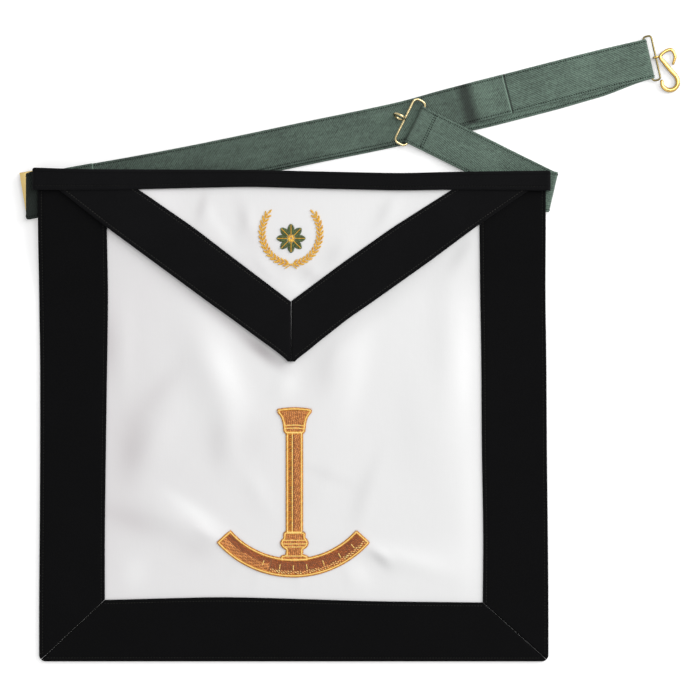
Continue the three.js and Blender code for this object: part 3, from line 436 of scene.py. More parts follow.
def curve_through(points, samples=800):
    """A smooth line through points, evenly spaced along its length, with its length."""
    points = np.array(points, dtype=float)
    ends = np.vstack([2 * points[0] - points[1], points, 2 * points[-1] - points[-2]])
    knots = np.concatenate([[0], np.cumsum(np.linalg.norm(np.diff(ends, axis=0), axis=1) ** 0.5)])
    line = []
    per_span = samples // (len(points) - 1) + 1
    for index in range(1, len(ends) - 2):
        t0, t1, t2, t3 = knots[index - 1:index + 3]
        p0, p1, p2, p3 = ends[index - 1:index + 3]
        t = np.linspace(t1, t2, per_span)[:, None]
        a1 = (t1 - t) / (t1 - t0) * p0 + (t - t0) / (t1 - t0) * p1
        a2 = (t2 - t) / (t2 - t1) * p1 + (t - t1) / (t2 - t1) * p2
        a3 = (t3 - t) / (t3 - t2) * p2 + (t - t2) / (t3 - t2) * p3
        b1 = (t2 - t) / (t2 - t0) * a1 + (t - t0) / (t2 - t0) * a2
        b2 = (t3 - t) / (t3 - t1) * a2 + (t - t1) / (t3 - t1) * a3
        line.append((t2 - t) / (t2 - t1) * b1 + (t - t1) / (t2 - t1) * b2)
    line = np.vstack([part[:-1] for part in line[:-1]] + [line[-1]])
    walked = distances(line)
    return line, walked


def distances(line):
    """How far along a line each of its points lies."""
    return np.concatenate([[0], np.cumsum(np.linalg.norm(np.diff(line, axis=0), axis=1))])


def along_line(line, walked, distance):
    """Places on a line at distances along it."""
    return np.stack([np.interp(distance, walked, line[:, axis]) for axis in range(line.shape[1])], axis=-1)


def unit(vectors):
    return vectors / np.maximum(np.linalg.norm(vectors, axis=-1, keepdims=True), 1e-9)


def select_only(piece):
    bpy.ops.object.select_all(action="DESELECT")
    piece.select_set(True)
    bpy.context.view_layer.objects.active = piece


def apply_modifier(piece, kind, **settings):
    """Adds a modifier with its settings and applies it."""
    select_only(piece)
    modifier = piece.modifiers.new(kind.title(), kind)
    for setting, value in settings.items():
        setattr(modifier, setting, value)
    bpy.ops.object.modifier_apply(modifier=modifier.name)


def face_outwards():
    """Turns the faces of the active piece outwards."""
    bpy.ops.object.mode_set(mode="EDIT")
    bpy.ops.mesh.select_all(action="SELECT")
    bpy.ops.mesh.normals_make_consistent(inside=False)
    bpy.ops.object.mode_set(mode="OBJECT")


def shaped_grid(name, places, uv=None, closed=False, endless=False):
    """Adds a grid and lays its vertices on places, an array of rows by columns by xyz.

    closed joins its last column to the first and fills its ends, and endless joins its last row to the first.
    """
    if closed:
        places = np.concatenate([places, places[:, :1]], axis=1)
    if endless:
        places = np.concatenate([places, places[:1]], axis=0)
    high, wide = places.shape[:2]
    bpy.ops.object.select_all(action="DESELECT")
    bpy.ops.mesh.primitive_grid_add(x_subdivisions=wide - 1, y_subdivisions=high - 1, size=1)
    piece = bpy.context.object
    piece.name = name
    mesh = piece.data
    mesh.name = name
    mesh.vertices.foreach_set("co", (places.reshape(-1, 3) * METRES).ravel().astype(np.float32))
    corners = np.empty(len(mesh.loops), dtype=np.int32)
    mesh.loops.foreach_get("vertex_index", corners)
    if uv is not None:
        if closed:
            uv = np.concatenate([uv, uv[:, :1]], axis=1)
            uv[:, -1, 0] = uv[:, -2, 0] + 0.001
        if endless:
            uv = np.concatenate([uv, uv[:1]], axis=0)
            uv[-1, :, 1] = uv[-2, :, 1] + 0.001
        flat = uv.reshape(-1, 2)[corners]
        mesh.uv_layers[0].data.foreach_set("uv", flat.ravel().astype(np.float32))
    mesh.update()
    bpy.ops.object.mode_set(mode="EDIT")
    bpy.ops.mesh.select_mode(type="VERT")
    bpy.ops.mesh.select_all(action="SELECT")
    if closed or endless:
        bpy.ops.mesh.remove_doubles(threshold=1e-6)
        if closed and not endless:
            bpy.ops.mesh.select_all(action="DESELECT")
            bpy.ops.mesh.select_non_manifold(extend=False)
            bpy.ops.mesh.edge_face_add()
        bpy.ops.mesh.select_all(action="SELECT")
        bpy.ops.mesh.normals_make_consistent(inside=False)
    bpy.ops.object.mode_set(mode="OBJECT")
    bpy.ops.object.shade_smooth()
    return piece


def band_section(width, foot, level, top, groove_inset, roll=0.9):
    """Cross-section of a folded band: distances from its outer edge and heights, once round it.

    It goes from the folded lip up over the rolled outer edge, across the top and back underneath.
    """
    spread = np.linspace(roll, width - 0.9, 22)
    grooves = [groove_inset - 0.5, groove_inset, groove_inset + 0.5]
    grooves += [width - groove_inset - 0.5, width - groove_inset, width - groove_inset + 0.5]
    across = np.unique(np.concatenate([spread, np.clip(grooves, roll, width - 0.9)]))
    inner = width - across
    crown = 0.3 * (hump(across - 1.6, 1.0) + hump(inner - 1.6, 1.0))
    dip = GROOVE_DEPTH * (hump(across - groove_inset, 0.5) + hump(inner - groove_inset, 0.5))
    heights = top + crown - dip
    low = foot + 0.05
    outer = [(0.35, low), (0.06, low + 0.25), (0.0, low + 0.6), (0.0, top - 0.75 * roll)]
    outer += [(0.12 * roll, top - 0.42 * roll), (0.45 * roll, top - 0.12 * roll)]
    end = [(width - 0.4, top - 0.1), (width - 0.1, top - 0.4), (width, top - 0.8)]
    end += [(width - 0.1, level + 0.05)]
    back = [(width - 0.4, level), (width * 0.5, level), (1.5, level), (1.3, level - 0.1), (1.2, low)]
    section = outer + list(zip(across, heights)) + end + back
    return np.array(section)


def folded_band(name, outer, inner, section, mitres=(True, True), end_walls=False, ground=underside):
    """A band of velvet between two edges, given as rows of xy, with its outer edge folded down.

    mitres sinks its first or last row into a seam, and end_walls closes its ends down to the foot.
    """
    outer = np.asarray(outer, dtype=float)
    inner = np.asarray(inner, dtype=float)
    shares = section[:, 0] / section[:, 0].max()
    flat = outer[:, None] + (inner - outer)[:, None] * shares[None, :, None]
    walked = distances((outer + inner) / 2)
    heights = ground(flat[..., 0], flat[..., 1]) + section[:, 1]
    foot = section[:, 1].min()
    top = section[:, 1].max()
    upper = section[:, 1] > top - VELVET_THICK * 0.7
    for at_end, from_end in zip(mitres, (walked, walked[-1] - walked)):
        if at_end:
            sink = 0.6 * hump(from_end, 0.8)[:, None]
            heights = heights - sink * upper
        elif end_walls:
            near = (from_end < VELVET_THICK)[:, None]
            ends = np.clip(1 - from_end / 1.6, 0, 1)[:, None] ** 2
            heights = heights - 1.2 * ends * upper
            heights = np.where(near & ~upper, ground(flat[..., 0], flat[..., 1]) + foot, heights)
    places = np.dstack([flat, heights])
    around = distances(section)
    uv = np.stack(np.broadcast_arrays(around[None, :] * METRES, walked[:, None] * METRES), axis=-1).copy()
    return shaped_grid(name, places, uv, closed=True), places


def seam_row(places, section, inset):
    """The line of topstitching along a band, at a distance from its outer edge, with its ends trimmed."""
    top = section[:, 1].max() - VELVET_THICK * 0.5
    upper = np.flatnonzero(section[:, 1] > top)
    column = upper[np.argmin(np.abs(section[upper, 0] - inset))]
    line = places[:, column]
    walked = distances(line)
    stops = np.arange(SEAM_TRIM, walked[-1] - SEAM_TRIM, 1.0)
    line = along_line(line, walked, stops) + [0, 0, THREAD_RISE]
    return line, np.repeat([[0, 0, 1.0]], len(line), axis=0)


def mitre_row(places, section):
    """The line of stitches along the mitre at the start of a band, beside its seam."""
    width = section[:, 0].max()
    upper = np.flatnonzero(section[:, 1] > section[:, 1].max() - VELVET_THICK * 0.5)
    inside = upper[(section[upper, 0] > MITRE_TRIM) & (section[upper, 0] < width - MITRE_TRIM)]
    line = places[0, inside] + [0, 0, THREAD_RISE]
    return line, np.repeat([[0, 0, 1.0]], len(line), axis=0)


def sew(name, lines, finish):
    """Topstitches a velvet piece along lines."""
    thread = running_stitches(name, lines, TOPSTITCH_PITCH, TOPSTITCH_LENGTH, TOPSTITCH_RADIUS)
    wear(thread, finish)
    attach(thread, "apron")
    return thread


def rounded_path(stops, radius, step):
    """Replaces the corners of a path of (distance, height) stops by short bends, with even steps between."""
    points = [np.array(stop, dtype=float) for stop in stops]
    path = [points[0]]
    for before, corner, after in zip(points, points[1:], points[2:]):
        back = before - corner
        on = after - corner
        reach = min(radius, np.linalg.norm(back) / 2.1, np.linalg.norm(on) / 2.1)
        start = corner + back / max(np.linalg.norm(back), 1e-9) * reach
        end = corner + on / max(np.linalg.norm(on), 1e-9) * reach
        for share in np.linspace(0, 1, 7):
            path.append((1 - share) ** 2 * start + 2 * share * (1 - share) * corner + share ** 2 * end)
    path.append(points[-1])
    dense = [path[0]]
    for before, after in zip(path, path[1:]):
        count = max(1, math.ceil(np.linalg.norm(after - before) / step))
        dense.extend(before + (after - before) * piece / count for piece in range(1, count + 1))
    return np.array(dense)


def web_middle(layer):
    return layer * WEB_PITCH + WEB_THICK / 2


BELT_POINTS = [(BELT_START[0] + BELT_RUN * along, BELT_START[1] + BELT_RISE * up) for along, up in BELT_LINE]
BELT, BELT_WALKED = curve_through(BELT_POINTS)
BELT_LENGTH = BELT_WALKED[-1]
FOLD_MIDDLE = WEB_THICK / 2
SLIDE_START = -SLIDE_BAR - WIRE_GAP
INNER_SLOT = SLIDE_START + 2 * SLIDE_BAR + SLIDE_SLOT
INNER_BAR = INNER_SLOT + SLIDE_SLOT
TURN_REACH = WIRE_GAP + WEB_THICK / 2
WIRE_TURN = WIRE_RADIUS + WIRE_GAP + WEB_THICK / 2
HOOK_WIRE = BELT_LENGTH - WIRE_RADIUS - WIRE_GAP - WEB_THICK
HOOK_WIRE_UP = WEB_THICK + WIRE_GAP + WIRE_RADIUS


def belt_ahead(distance):
    ahead = along_line(BELT, BELT_WALKED, distance + 0.5) - along_line(BELT, BELT_WALKED, distance - 0.5)
    return unit(ahead)


def belt_across(distance):
    """Direction across the belt, leaning with the slide at its left end."""
    ahead = belt_ahead(np.clip(distance, 1, BELT_LENGTH - 1))
    square = np.stack([-ahead[..., 1], ahead[..., 0]], axis=-1)
    lean = np.array([-math.sin(SLIDE_LEAN), math.cos(SLIDE_LEAN)])
    share = soft(distance / (3 * (SLIDE_BAR + SLIDE_SLOT)) - 0.5)[..., None]
    return unit(lean * (1 - share) + square * share)


def belt_place(distance):
    place = along_line(BELT, BELT_WALKED, np.clip(distance, 0, BELT_LENGTH))
    before = np.minimum(distance, 0)[..., None]
    return place + belt_ahead(np.array([1.0]))[0] * before


def ribbon(name, left, right):
    """A strap of webbing between two edges of xyz rows, with round selvedges and sunk stitch lines."""
    left = np.asarray(left, dtype=float)
    right = np.asarray(right, dtype=float)
    middles = (left + right) / 2
    ahead = np.empty_like(middles)
    ahead[1:-1] = middles[2:] - middles[:-2]
    ahead[0] = middles[1] - middles[0]
    ahead[-1] = middles[-1] - middles[-2]
    across = right - left
    normal = unit(np.cross(across, ahead))
    width = np.linalg.norm(across, axis=1)
    half = WEB_THICK / 2
    inset = np.array([0.0, 0.12, 0.4, 1.0, 1.7, 2.1, 2.5, 3.4, 6.0, 10.0, 14.0])
    rise = np.array([0.0, 0.5, 0.85, 1.0, 0.95, 0.72, 0.95, 1.0, 1.0, 1.0, 1.0]) * half
    over = np.concatenate([inset, WEB_WIDTH - inset[::-1]])
    section = [(place, height) for place, height in zip(over, np.concatenate([rise, rise[::-1]]))]
    section += [(place, -height) for place, height in section[::-1] if 0 < place < WEB_WIDTH]
    section = np.array(section)
    share = section[:, 0] / WEB_WIDTH
    places = left[:, None] + across[:, None] * share[None, :, None]
    places = places + normal[:, None] * section[None, :, 1, None]
    walked = distances(middles)
    side = np.where(np.arange(len(section)) < 2 * len(inset), 0, 0.1)
    around = section[:, 0] * METRES + side
    uv = np.stack(np.broadcast_arrays(around[None, :], walked[:, None] * METRES), axis=-1).copy()
    rows = []
    for share in (STITCH_IN / WEB_WIDTH, 1 - STITCH_IN / WEB_WIDTH):
        line = left + across * share
        rows += [(line + normal * half * SEAM_DEPTH, normal), (line - normal * half * SEAM_DEPTH, -normal)]
    return shaped_grid(name, places, uv, closed=True), rows


def cross_row(left, right, index):
    """Stitch lines straight across both faces of a strap at one of its rows."""
    share = np.linspace(0.03, 0.97, 30)[:, None]
    line = left[index] + (right[index] - left[index]) * share
    ahead = left[index + 1] - left[index - 1]
    normal = unit(np.cross(right[index] - left[index], ahead))
    facing = np.repeat(normal[None], len(line), axis=0)
    return [(line + normal * WEB_THICK / 2, facing), (line - normal * WEB_THICK / 2, -facing)]


def belt_edges(path, slipping):
    """Left and right edges of belt webbing along a path of (distance, height) rows."""
    distance = path[:, 0]
    across = belt_across(distance)
    lifted = soft((path[:, 1] - TAB_MIDDLE + 2.4) / 1.0) * (distance < CORNER_TAB)
    upright = soft((CORNER_TAB - distance) / 20)
    across = unit(across * (1 - upright[:, None]) + np.array([0.0, 1.0]) * upright[:, None])
    slip = np.where(slipping, WEB_WIDTH * read(BELT_SLIP, distance / BELT_LENGTH, 0.015), 0)
    middle = belt_place(distance) - across * slip[:, None]
    corner = np.clip(1 - (distance - FOLD_MIDDLE + FOLD_PUSH) / CORNER_EASE, 0, 1) * lifted
    drawn_in = CORNER_EASE * (1 - np.sqrt(1 - corner ** 2))
    left_reach = WEB_WIDTH / 2 + SLIDE_TOP_COVER * lifted * soft((20 - distance) / 10) - 0.6 * drawn_in
    right_reach = WEB_WIDTH / 2 + SLIDE_COVER * lifted - drawn_in
    left = np.column_stack([middle + across * left_reach[:, None], path[:, 1]])
    right = np.column_stack([middle - across * right_reach[:, None], path[:, 1]])
    return left, right


def half_turn(centre, height, radius, down=False):
    angles = np.pi * (np.linspace(0, 1, 11) - 0.5) * (-1 if down else 1)
    return np.column_stack([centre + radius * np.cos(angles), height + radius * np.sin(angles)])


def strap_path():
    """Path of the long strap from its hem through the slide and back underneath, and where it is lower."""
    upper = rounded_path([
        (STRAP_HEM * BELT_LENGTH, web_middle(2)),
        (STEP_TOP * BELT_LENGTH, web_middle(2)),
        (STEP_FOOT * BELT_LENGTH, web_middle(1)),
        (INNER_SLOT + TURN_REACH, web_middle(1)),
        (INNER_SLOT + TURN_REACH, TAB_MIDDLE),
        (FOLD_MIDDLE - FOLD_PUSH, TAB_MIDDLE),
        (FOLD_MIDDLE + FOLD_LEAN, web_middle(0)),
        (2 * SLIDE_SLOT + FOLD_LEAN, web_middle(0)),
    ], 1.4, WEB_ROW)
    lower = rounded_path([
        (2 * SLIDE_SLOT + FOLD_LEAN, web_middle(0)),
        (WEBBING_JOIN * BELT_LENGTH - SEAM_GAP / 2, web_middle(0)),
    ], 0, WEB_ROW)
    path = np.vstack([upper, lower[1:]])
    return path, np.arange(len(path)) >= len(upper)


def hook_path():
    """Path of the hook's webbing, from its join round the wire to its end under the strap's hem."""
    lower = rounded_path([
        (WEBBING_JOIN * BELT_LENGTH + SEAM_GAP / 2, web_middle(0)),
        (HOOK_WIRE, web_middle(0)),
    ], 0, WEB_ROW)
    back = rounded_path([
        (HOOK_WIRE, HOOK_WIRE_UP + WIRE_TURN),
        (HOOK_WIRE - 5, HOOK_WIRE_UP + WIRE_TURN - 0.2),
        (HOOK_WIRE - 16, web_middle(1)),
        (HOOK_HEM * BELT_LENGTH, web_middle(1)),
    ], 5, WEB_ROW)
    turn = half_turn(HOOK_WIRE, HOOK_WIRE_UP, WIRE_TURN)
    path = np.vstack([lower[:-1], turn, back[1:]])
    return path, np.arange(len(path)) < len(lower)


def tab_path():
    """Path of the hidden tab round the slide's inner bar."""
    fold = INNER_BAR - TURN_REACH
    end = fold + CORNER_TAB
    return rounded_path([
        (end, TAB_MIDDLE),
        (fold, TAB_MIDDLE),
        (fold, web_middle(2)),
        (INNER_BAR + SLIDE_BAR, web_middle(2)),
        (INNER_BAR + SLIDE_BAR + 6, TAB_MIDDLE - WEB_PITCH),
        (end - 6, TAB_MIDDLE - WEB_PITCH),
    ], 1.2, WEB_ROW)


SHORT_HEADING = math.radians(153.8)
SHORT_LENGTH = 122.3
SHORT_AHEAD = np.array([math.cos(SHORT_HEADING), math.sin(SHORT_HEADING), 0])
SHORT_ACROSS = np.array([SHORT_AHEAD[1], -SHORT_AHEAD[0], 0])
SHORT_FOLD = np.array([APRON_LEFT + APRON_WIDTH + 3, APRON_TOP - 17, 0])
FOLD_ALONG = np.array([math.cos(SHORT_HEADING / 2), math.sin(SHORT_HEADING / 2), 0])
FOLD_OUT = np.array([FOLD_ALONG[1], -FOLD_ALONG[0], 0])
FOLD_HALF = WEB_WIDTH / 2 / math.sin(SHORT_HEADING / 2)
CATCH_WIRE = SHORT_LENGTH - WIRE_RADIUS - WIRE_GAP - WEB_THICK
CATCH_WIRE_UP = 2 * WEB_PITCH + WEB_THICK + WIRE_GAP + WIRE_RADIUS
CATCH_HEM = CATCH_WIRE - 11


def short_strap_edges():
    """Edges of the short strap, from its end behind the apron round the corner fold to the catch."""
    tab_up = RIGHT_RISE - CLOTH_GAP - WEB_THICK / 2
    fold_up = (tab_up + web_middle(0)) / 2
    fold_radius = (tab_up - web_middle(0)) / 2
    upwards = np.array([0, 0, 1.0])
    middles = [np.array([-CORNER_TAB * share, 0, tab_up]) for share in np.linspace(1, 0.02, 16)]
    for angle in np.pi * (0.5 - np.linspace(0, 1, 11)):
        height = fold_up + fold_radius * math.sin(angle)
        middles.append(FOLD_OUT * fold_radius * math.cos(angle) + upwards * height)
    left = [SHORT_FOLD + FOLD_ALONG * FOLD_HALF + middle for middle in middles]
    right = [SHORT_FOLD - FOLD_ALONG * FOLD_HALF + middle for middle in middles]
    lead = FOLD_HALF * math.cos(SHORT_HEADING / 2)
    run = rounded_path([
        (4, web_middle(0)),
        (40, web_middle(0)),
        (66, web_middle(2)),
        (CATCH_HEM - 6, web_middle(2)),
        (CATCH_HEM - 1, web_middle(3)),
        (CATCH_WIRE - 5, web_middle(3) + 0.3),
        (CATCH_WIRE, CATCH_WIRE_UP + WIRE_TURN),
    ], 4, WEB_ROW)[:-1]
    turn = half_turn(CATCH_WIRE, CATCH_WIRE_UP, WIRE_TURN, down=True)
    for distance, height in np.vstack([run, turn, [(CATCH_HEM, web_middle(2))]]):
        share = distance / SHORT_LENGTH
        up = upwards * height
        left.append(SHORT_FOLD + FOLD_ALONG * FOLD_HALF + SHORT_AHEAD * (distance - lead * share) + up)
        right.append(SHORT_FOLD - FOLD_ALONG * FOLD_HALF + SHORT_AHEAD * (distance + lead * share) + up)
    return np.array(left), np.array(right)


def tube(name, points, radii, sides=14, endless=False):
    """Round wire along points, with a radius at each, its open ends rounded over."""
    points = np.asarray(points, dtype=float)
    radii = np.broadcast_to(np.asarray(radii, dtype=float), (len(points),)).copy()
    if endless:
        ahead = unit(np.roll(points, -1, axis=0) - np.roll(points, 1, axis=0))
    else:
        start = unit(points[0] - points[1])
        end = unit(points[-1] - points[-2])
        steps = np.array([1.0, 0.9, 0.6])
        sizes = np.sqrt(1 - steps ** 2) + 0.02
        points = np.vstack([
            points[0] + start * radii[0] * steps[:, None],
            points,
            points[-1] + end * radii[-1] * steps[::-1, None],
        ])
        radii = np.concatenate([radii[0] * sizes, radii, radii[-1] * sizes[::-1]])
        ahead = np.vstack([points[1] - points[0], points[2:] - points[:-2], points[-1] - points[-2]])
        ahead = unit(ahead)
    up = np.array([0, 0, 1.0]) if abs(ahead[0][2]) < 0.9 else np.array([1.0, 0, 0])
    places = []
    angles = np.linspace(0, 2 * np.pi, sides, endpoint=False)
    for point, direction, radius in zip(points, ahead, radii):
        up = unit(up - direction * np.dot(up, direction))
        side = np.cross(direction, up)
        places.append(point + radius * (np.outer(np.cos(angles), up) + np.outer(np.sin(angles), side)))
    return shaped_grid(name, np.array(places), None, closed=True, endless=endless)


def loop_points(centre, ahead, across, depth, climb, end_play):
    """Middle line of a wire loop: two bars joined by two rounded ends."""
    half = WEB_WIDTH / 2 + end_play + WIRE_RADIUS
    bend = LOOP_ROUNDING * depth
    points = []
    for forward, sideways, turn in ((0, -half, 180), (depth, -half, 270), (depth, half, 0), (0, half, 90)):
        inward = bend if forward == 0 else -bend
        beside = bend if sideways < 0 else -bend
        for share in np.linspace(0, 1, 9):
            angle = math.radians(turn + 90 * share)
            along = forward + inward + bend * math.cos(angle)
            aside = sideways + beside + bend * math.sin(angle)
            point = np.asarray(centre) + np.asarray(ahead) * along + np.asarray(across) * aside
            points.append(point + np.array([0, 0, climb * along / depth]))
    return np.array(points)


def ring_points(centre, first, second, radius, count=28):
    angles = np.linspace(0, 2 * np.pi, count, endpoint=False)
    return np.asarray(centre) + radius * (np.outer(np.cos(angles), first) + np.outer(np.sin(angles), second))


def join_pieces(name, pieces):
    """Joins pieces into the first one."""
    bpy.ops.object.select_all(action="DESELECT")
    for piece in pieces:
        piece.select_set(True)
    bpy.context.view_layer.objects.active = pieces[0]
    bpy.ops.object.join()
    pieces[0].name = name
    pieces[0].data.name = name
    return pieces[0]


FULL_STITCH = (
    (0.0, 0.35, -0.9), (0.1, 0.85, -0.1), (0.35, 1.0, 0.55), (0.65, 1.0, 0.55), (0.9, 0.85, -0.1),
    (1.0, 0.35, -0.9),
)
PLAIN_STITCH = ((0.0, 0.5, -0.8), (0.25, 1.0, 0.4), (0.75, 1.0, 0.4), (1.0, 0.5, -0.8))


def stitches(name, starts, ends, radius, bulge, sides=5, normals=None, shape=FULL_STITCH):
    """Threads laid between pairs of points: each one dips in at its ends and swells up between them.

    shape gives a thread's stations: share along it, share of its radius, share of its bulge.
    """
    starts = np.asarray(starts, dtype=float)
    ends = np.asarray(ends, dtype=float)
    count = len(starts)
    stations, sizes, lifts = np.array(shape).T
    ahead = unit(ends - starts)
    up = np.array([[0, 0, 1.0]]) if normals is None else normals
    side = unit(np.cross(ahead, up))
    up = np.cross(side, ahead)
    angles = np.linspace(0, 2 * np.pi, sides, endpoint=False) + np.pi / 2
    radius = np.broadcast_to(np.asarray(radius, dtype=float), (count,))
    bulge = np.broadcast_to(np.asarray(bulge, dtype=float), (count,))
    middle = starts[:, None] + (ends - starts)[:, None] * stations[None, :, None]
    middle = middle + up[:, None] * (lifts[None, :, None] * bulge[:, None, None])
    reach = radius[:, None] * sizes[None, :]
    round_side = side[:, None, None] * np.cos(angles)[None, None, :, None]
    round_up = up[:, None, None] * np.sin(angles)[None, None, :, None]
    places = middle[:, :, None] + reach[:, :, None, None] * (round_side + round_up)
    vertices = places.reshape(-1, 3) * METRES
    rings = len(stations)
    faces = []
    for ring in range(rings - 1):
        for around in range(sides):
            beside = (around + 1) % sides
            faces.append((ring * sides + around, (ring + 1) * sides + around,
                          (ring + 1) * sides + beside, ring * sides + beside))
    walls = np.array(faces)
    block = rings * sides
    offsets = (np.arange(count) * block)[:, None, None]
    quads = (walls[None] + offsets).reshape(-1, 4)
    caps_low = (np.arange(sides)[None] + offsets[:, 0]).reshape(-1, sides)
    caps_high = (np.arange(block - 1, block - 1 - sides, -1)[None] + offsets[:, 0]).reshape(-1, sides)
    mesh = bpy.data.meshes.new(name)
    mesh.from_pydata(vertices.tolist(), [], quads.tolist() + caps_low.tolist() + caps_high.tolist())
    tone = mesh.attributes.new("tone", "FLOAT", "POINT")
    shades = np.random.default_rng(7).random(count)
    tone.data.foreach_set("value", np.repeat(shades, block).astype(np.float32))
    piece = bpy.data.objects.new(name, mesh)
    bpy.context.scene.collection.objects.link(piece)
    select_only(piece)
    face_outwards()
    bpy.ops.object.shade_smooth()
    return piece


def running_stitches(name, lines, pitch, length, radius):
    """A row of short plain stitches along each line, given as xyz points and the cloth's normals there."""
    starts = []
    ends = []
    normals = []
    for points, facing in lines:
        walked = distances(points)
        stops = np.arange(0.4 * pitch, walked[-1] - length, pitch)
        starts.append(along_line(points, walked, stops))
        ends.append(along_line(points, walked, stops + length))
        normals.append(along_line(facing, walked, stops + length / 2))
    return stitches(name, np.vstack(starts), np.vstack(ends), radius, radius * 0.7, sides=4,
                    normals=np.vstack(normals), shape=PLAIN_STITCH)


class Value:
    """A socket in a material's node tree, so that shader maths reads as Python."""

    def __init__(self, tree, socket):
        self.tree = tree
        self.socket = socket

    def math(self, operation, other=None):
        return self.tree.node("ShaderNodeMath", {"operation": operation}, [self, other])

    def __add__(self, other):
        return self.math("ADD", other)

    __radd__ = __add__

    def __mul__(self, other):
        return self.math("MULTIPLY", other)

    __rmul__ = __mul__

    def __sub__(self, other):
        return self.math("SUBTRACT", other)

    def __rsub__(self, other):
        return self.tree.node("ShaderNodeMath", {"operation": "SUBTRACT"}, [other, self])

    def __truediv__(self, other):
        return self.math("DIVIDE", other)

    def sine(self):
        return self.math("SINE")

    def clamp(self, low=0.0, high=1.0):
        return self.tree.node("ShaderNodeClamp", {}, [self, low, high])


class Finish:
    """A material under construction: its Principled shader and the nodes that feed it."""

    def __init__(self, name, settings):
        self.material = bpy.data.materials.new(name)
        self.material.use_nodes = True
        self.nodes = self.material.node_tree.nodes
        self.links = self.material.node_tree.links
        self.shader = self.nodes["Principled BSDF"]
        for socket, value in settings.items():
            self.shader.inputs[socket].default_value = value

    def node(self, kind, settings, values, output=0):
        """Makes a node: settings first, then values or links of its sockets in order or by name."""
        node = self.nodes.new(kind)
        for setting, value in settings.items():
            setattr(node, setting, value)
        pairs = values.items() if isinstance(values, dict) else enumerate(values)
        for key, value in pairs:
            if value is None:
                continue
            socket = node.inputs[key]
            if isinstance(value, Value):
                self.links.new(value.socket, socket)
            else:
                socket.default_value = value
        return Value(self, node.outputs[output])

    def feed(self, socket, value):
        self.links.new(value.socket, self.shader.inputs[socket])

    def place(self):
        """Object coordinates in metres."""
        return self.node("ShaderNodeTexCoord", {}, [], "Object")

    def parts(self, vector):
        """The three numbers of a vector."""
        split = self.nodes.new("ShaderNodeSeparateXYZ")
        self.links.new(vector.socket, split.inputs[0])
        return [Value(self, output) for output in split.outputs]

    def flat(self):
        """The piece's own UV map: across and along it, in metres."""
        return self.parts(self.node("ShaderNodeTexCoord", {}, [], "UV"))[:2]

    def axes(self):
        return self.parts(self.place())

    def vector(self, x, y, z):
        return self.node("ShaderNodeCombineXYZ", {}, [x, y, z])

    def noise(self, scale, detail=2.0, roughness=0.5, at=None):
        at = at or self.place()
        return self.node("ShaderNodeTexNoise", {},
                         {"Vector": at, "Scale": scale, "Detail": detail, "Roughness": roughness})

    def attribute(self, name):
        return self.node("ShaderNodeAttribute", {"attribute_name": name}, [], "Fac")

    def blend(self, share, first, second):
        """Mixes two colours by a share."""
        return self.node("ShaderNodeMix", {"data_type": "RGBA"}, {0: share, 6: first, 7: second}, 2)

    def bump(self, height, strength, distance):
        return self.node("ShaderNodeBump", {},
                         {"Height": height, "Strength": strength, "Distance": distance})


def coloured(colour, shade=1.0):
    return (colour[0] * shade, colour[1] * shade, colour[2] * shade, 1.0)


def wear(piece, finish):
    piece.data.materials.clear()
    piece.data.materials.append(finish.material)


def stand_in(piece, node, body="apron"):
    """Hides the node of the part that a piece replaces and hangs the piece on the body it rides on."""
    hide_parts(node)
    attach(piece, body)


def satin_finish(name, colour):
    """Satin: fine weave, soft gloss, faint lengthwise slubs, a painted pink shade that gathers to the left,
    and painted shade and highlight from its stored shade.
    """
    finish = Finish(name, {"Specular IOR Level": 0.5, "Sheen Weight": 0.2, "Sheen Roughness": 0.35})
    x, y = finish.axes()[:2]
    drift = finish.noise(11.0, 3.0)
    slubs = finish.noise(1.0, 2.0, 0.6, finish.vector(x * 900.0, y * 60.0, 0.0))
    shade = finish.attribute("shade")
    # Painted shade: towards the left the satin is painted darker and pinker, where it turns away from the
    # light
    left = (0.1 - x * 2.6).clamp()
    rosy_shade_share = (left * (drift * 1.2 - 0.1)).clamp()
    plain = finish.blend(slubs, coloured(colour, 0.975), coloured(colour, 1.0))
    rosy_shade = (colour[0] * 0.9, colour[1] * 0.855, colour[2] * 0.875, 1)
    face = finish.blend(rosy_shade_share, plain, rosy_shade)
    rosy_deep_shade = (colour[0] * 0.42, colour[1] * 0.3, colour[2] * 0.33, 1)
    dark = finish.blend(left, coloured(colour, 0.5), rosy_deep_shade)
    # Painted shade where the stored shade is above 0, and a painted highlight where it is below 0
    face = finish.blend((shade * 0.26).clamp(), face, dark)
    face = finish.blend((shade * -1.0).clamp(), face, coloured(colour, 1.1))
    finish.feed("Base Color", face)
    threads = (x * 9000.0).sine() * 0.5 + (y * 9000.0).sine() * 0.5
    rumple = finish.noise(45.0, 3.0, 0.55)
    finish.feed("Normal", finish.bump(threads * 0.02 + rumple * 0.9 + slubs * 0.1, 0.4, 0.0006))
    finish.feed("Roughness", 0.36 + drift * 0.1)
    return finish


def velvet_finish(name, colour):
    """Velvet: deep pile that drinks light, its nap brushed in patches."""
    finish = Finish(name, {"Specular IOR Level": 0.08, "Sheen Weight": 0.05, "Sheen Roughness": 0.4,
                           "Sheen Tint": (0.6, 0.6, 0.62, 1)})
    pile = finish.noise(1400.0, 2.0, 0.7)
    nap = finish.noise(24.0, 3.0, 0.6)
    share = (pile * 0.8 + nap * 0.7 - 0.3).clamp()
    finish.feed("Base Color", finish.blend(share, coloured(colour, 0.5), coloured(colour, 1.9)))
    finish.feed("Normal", finish.bump(pile + nap * 0.4, 0.5, 0.0006))
    finish.feed("Roughness", 0.8 + nap * 0.2)
    return finish


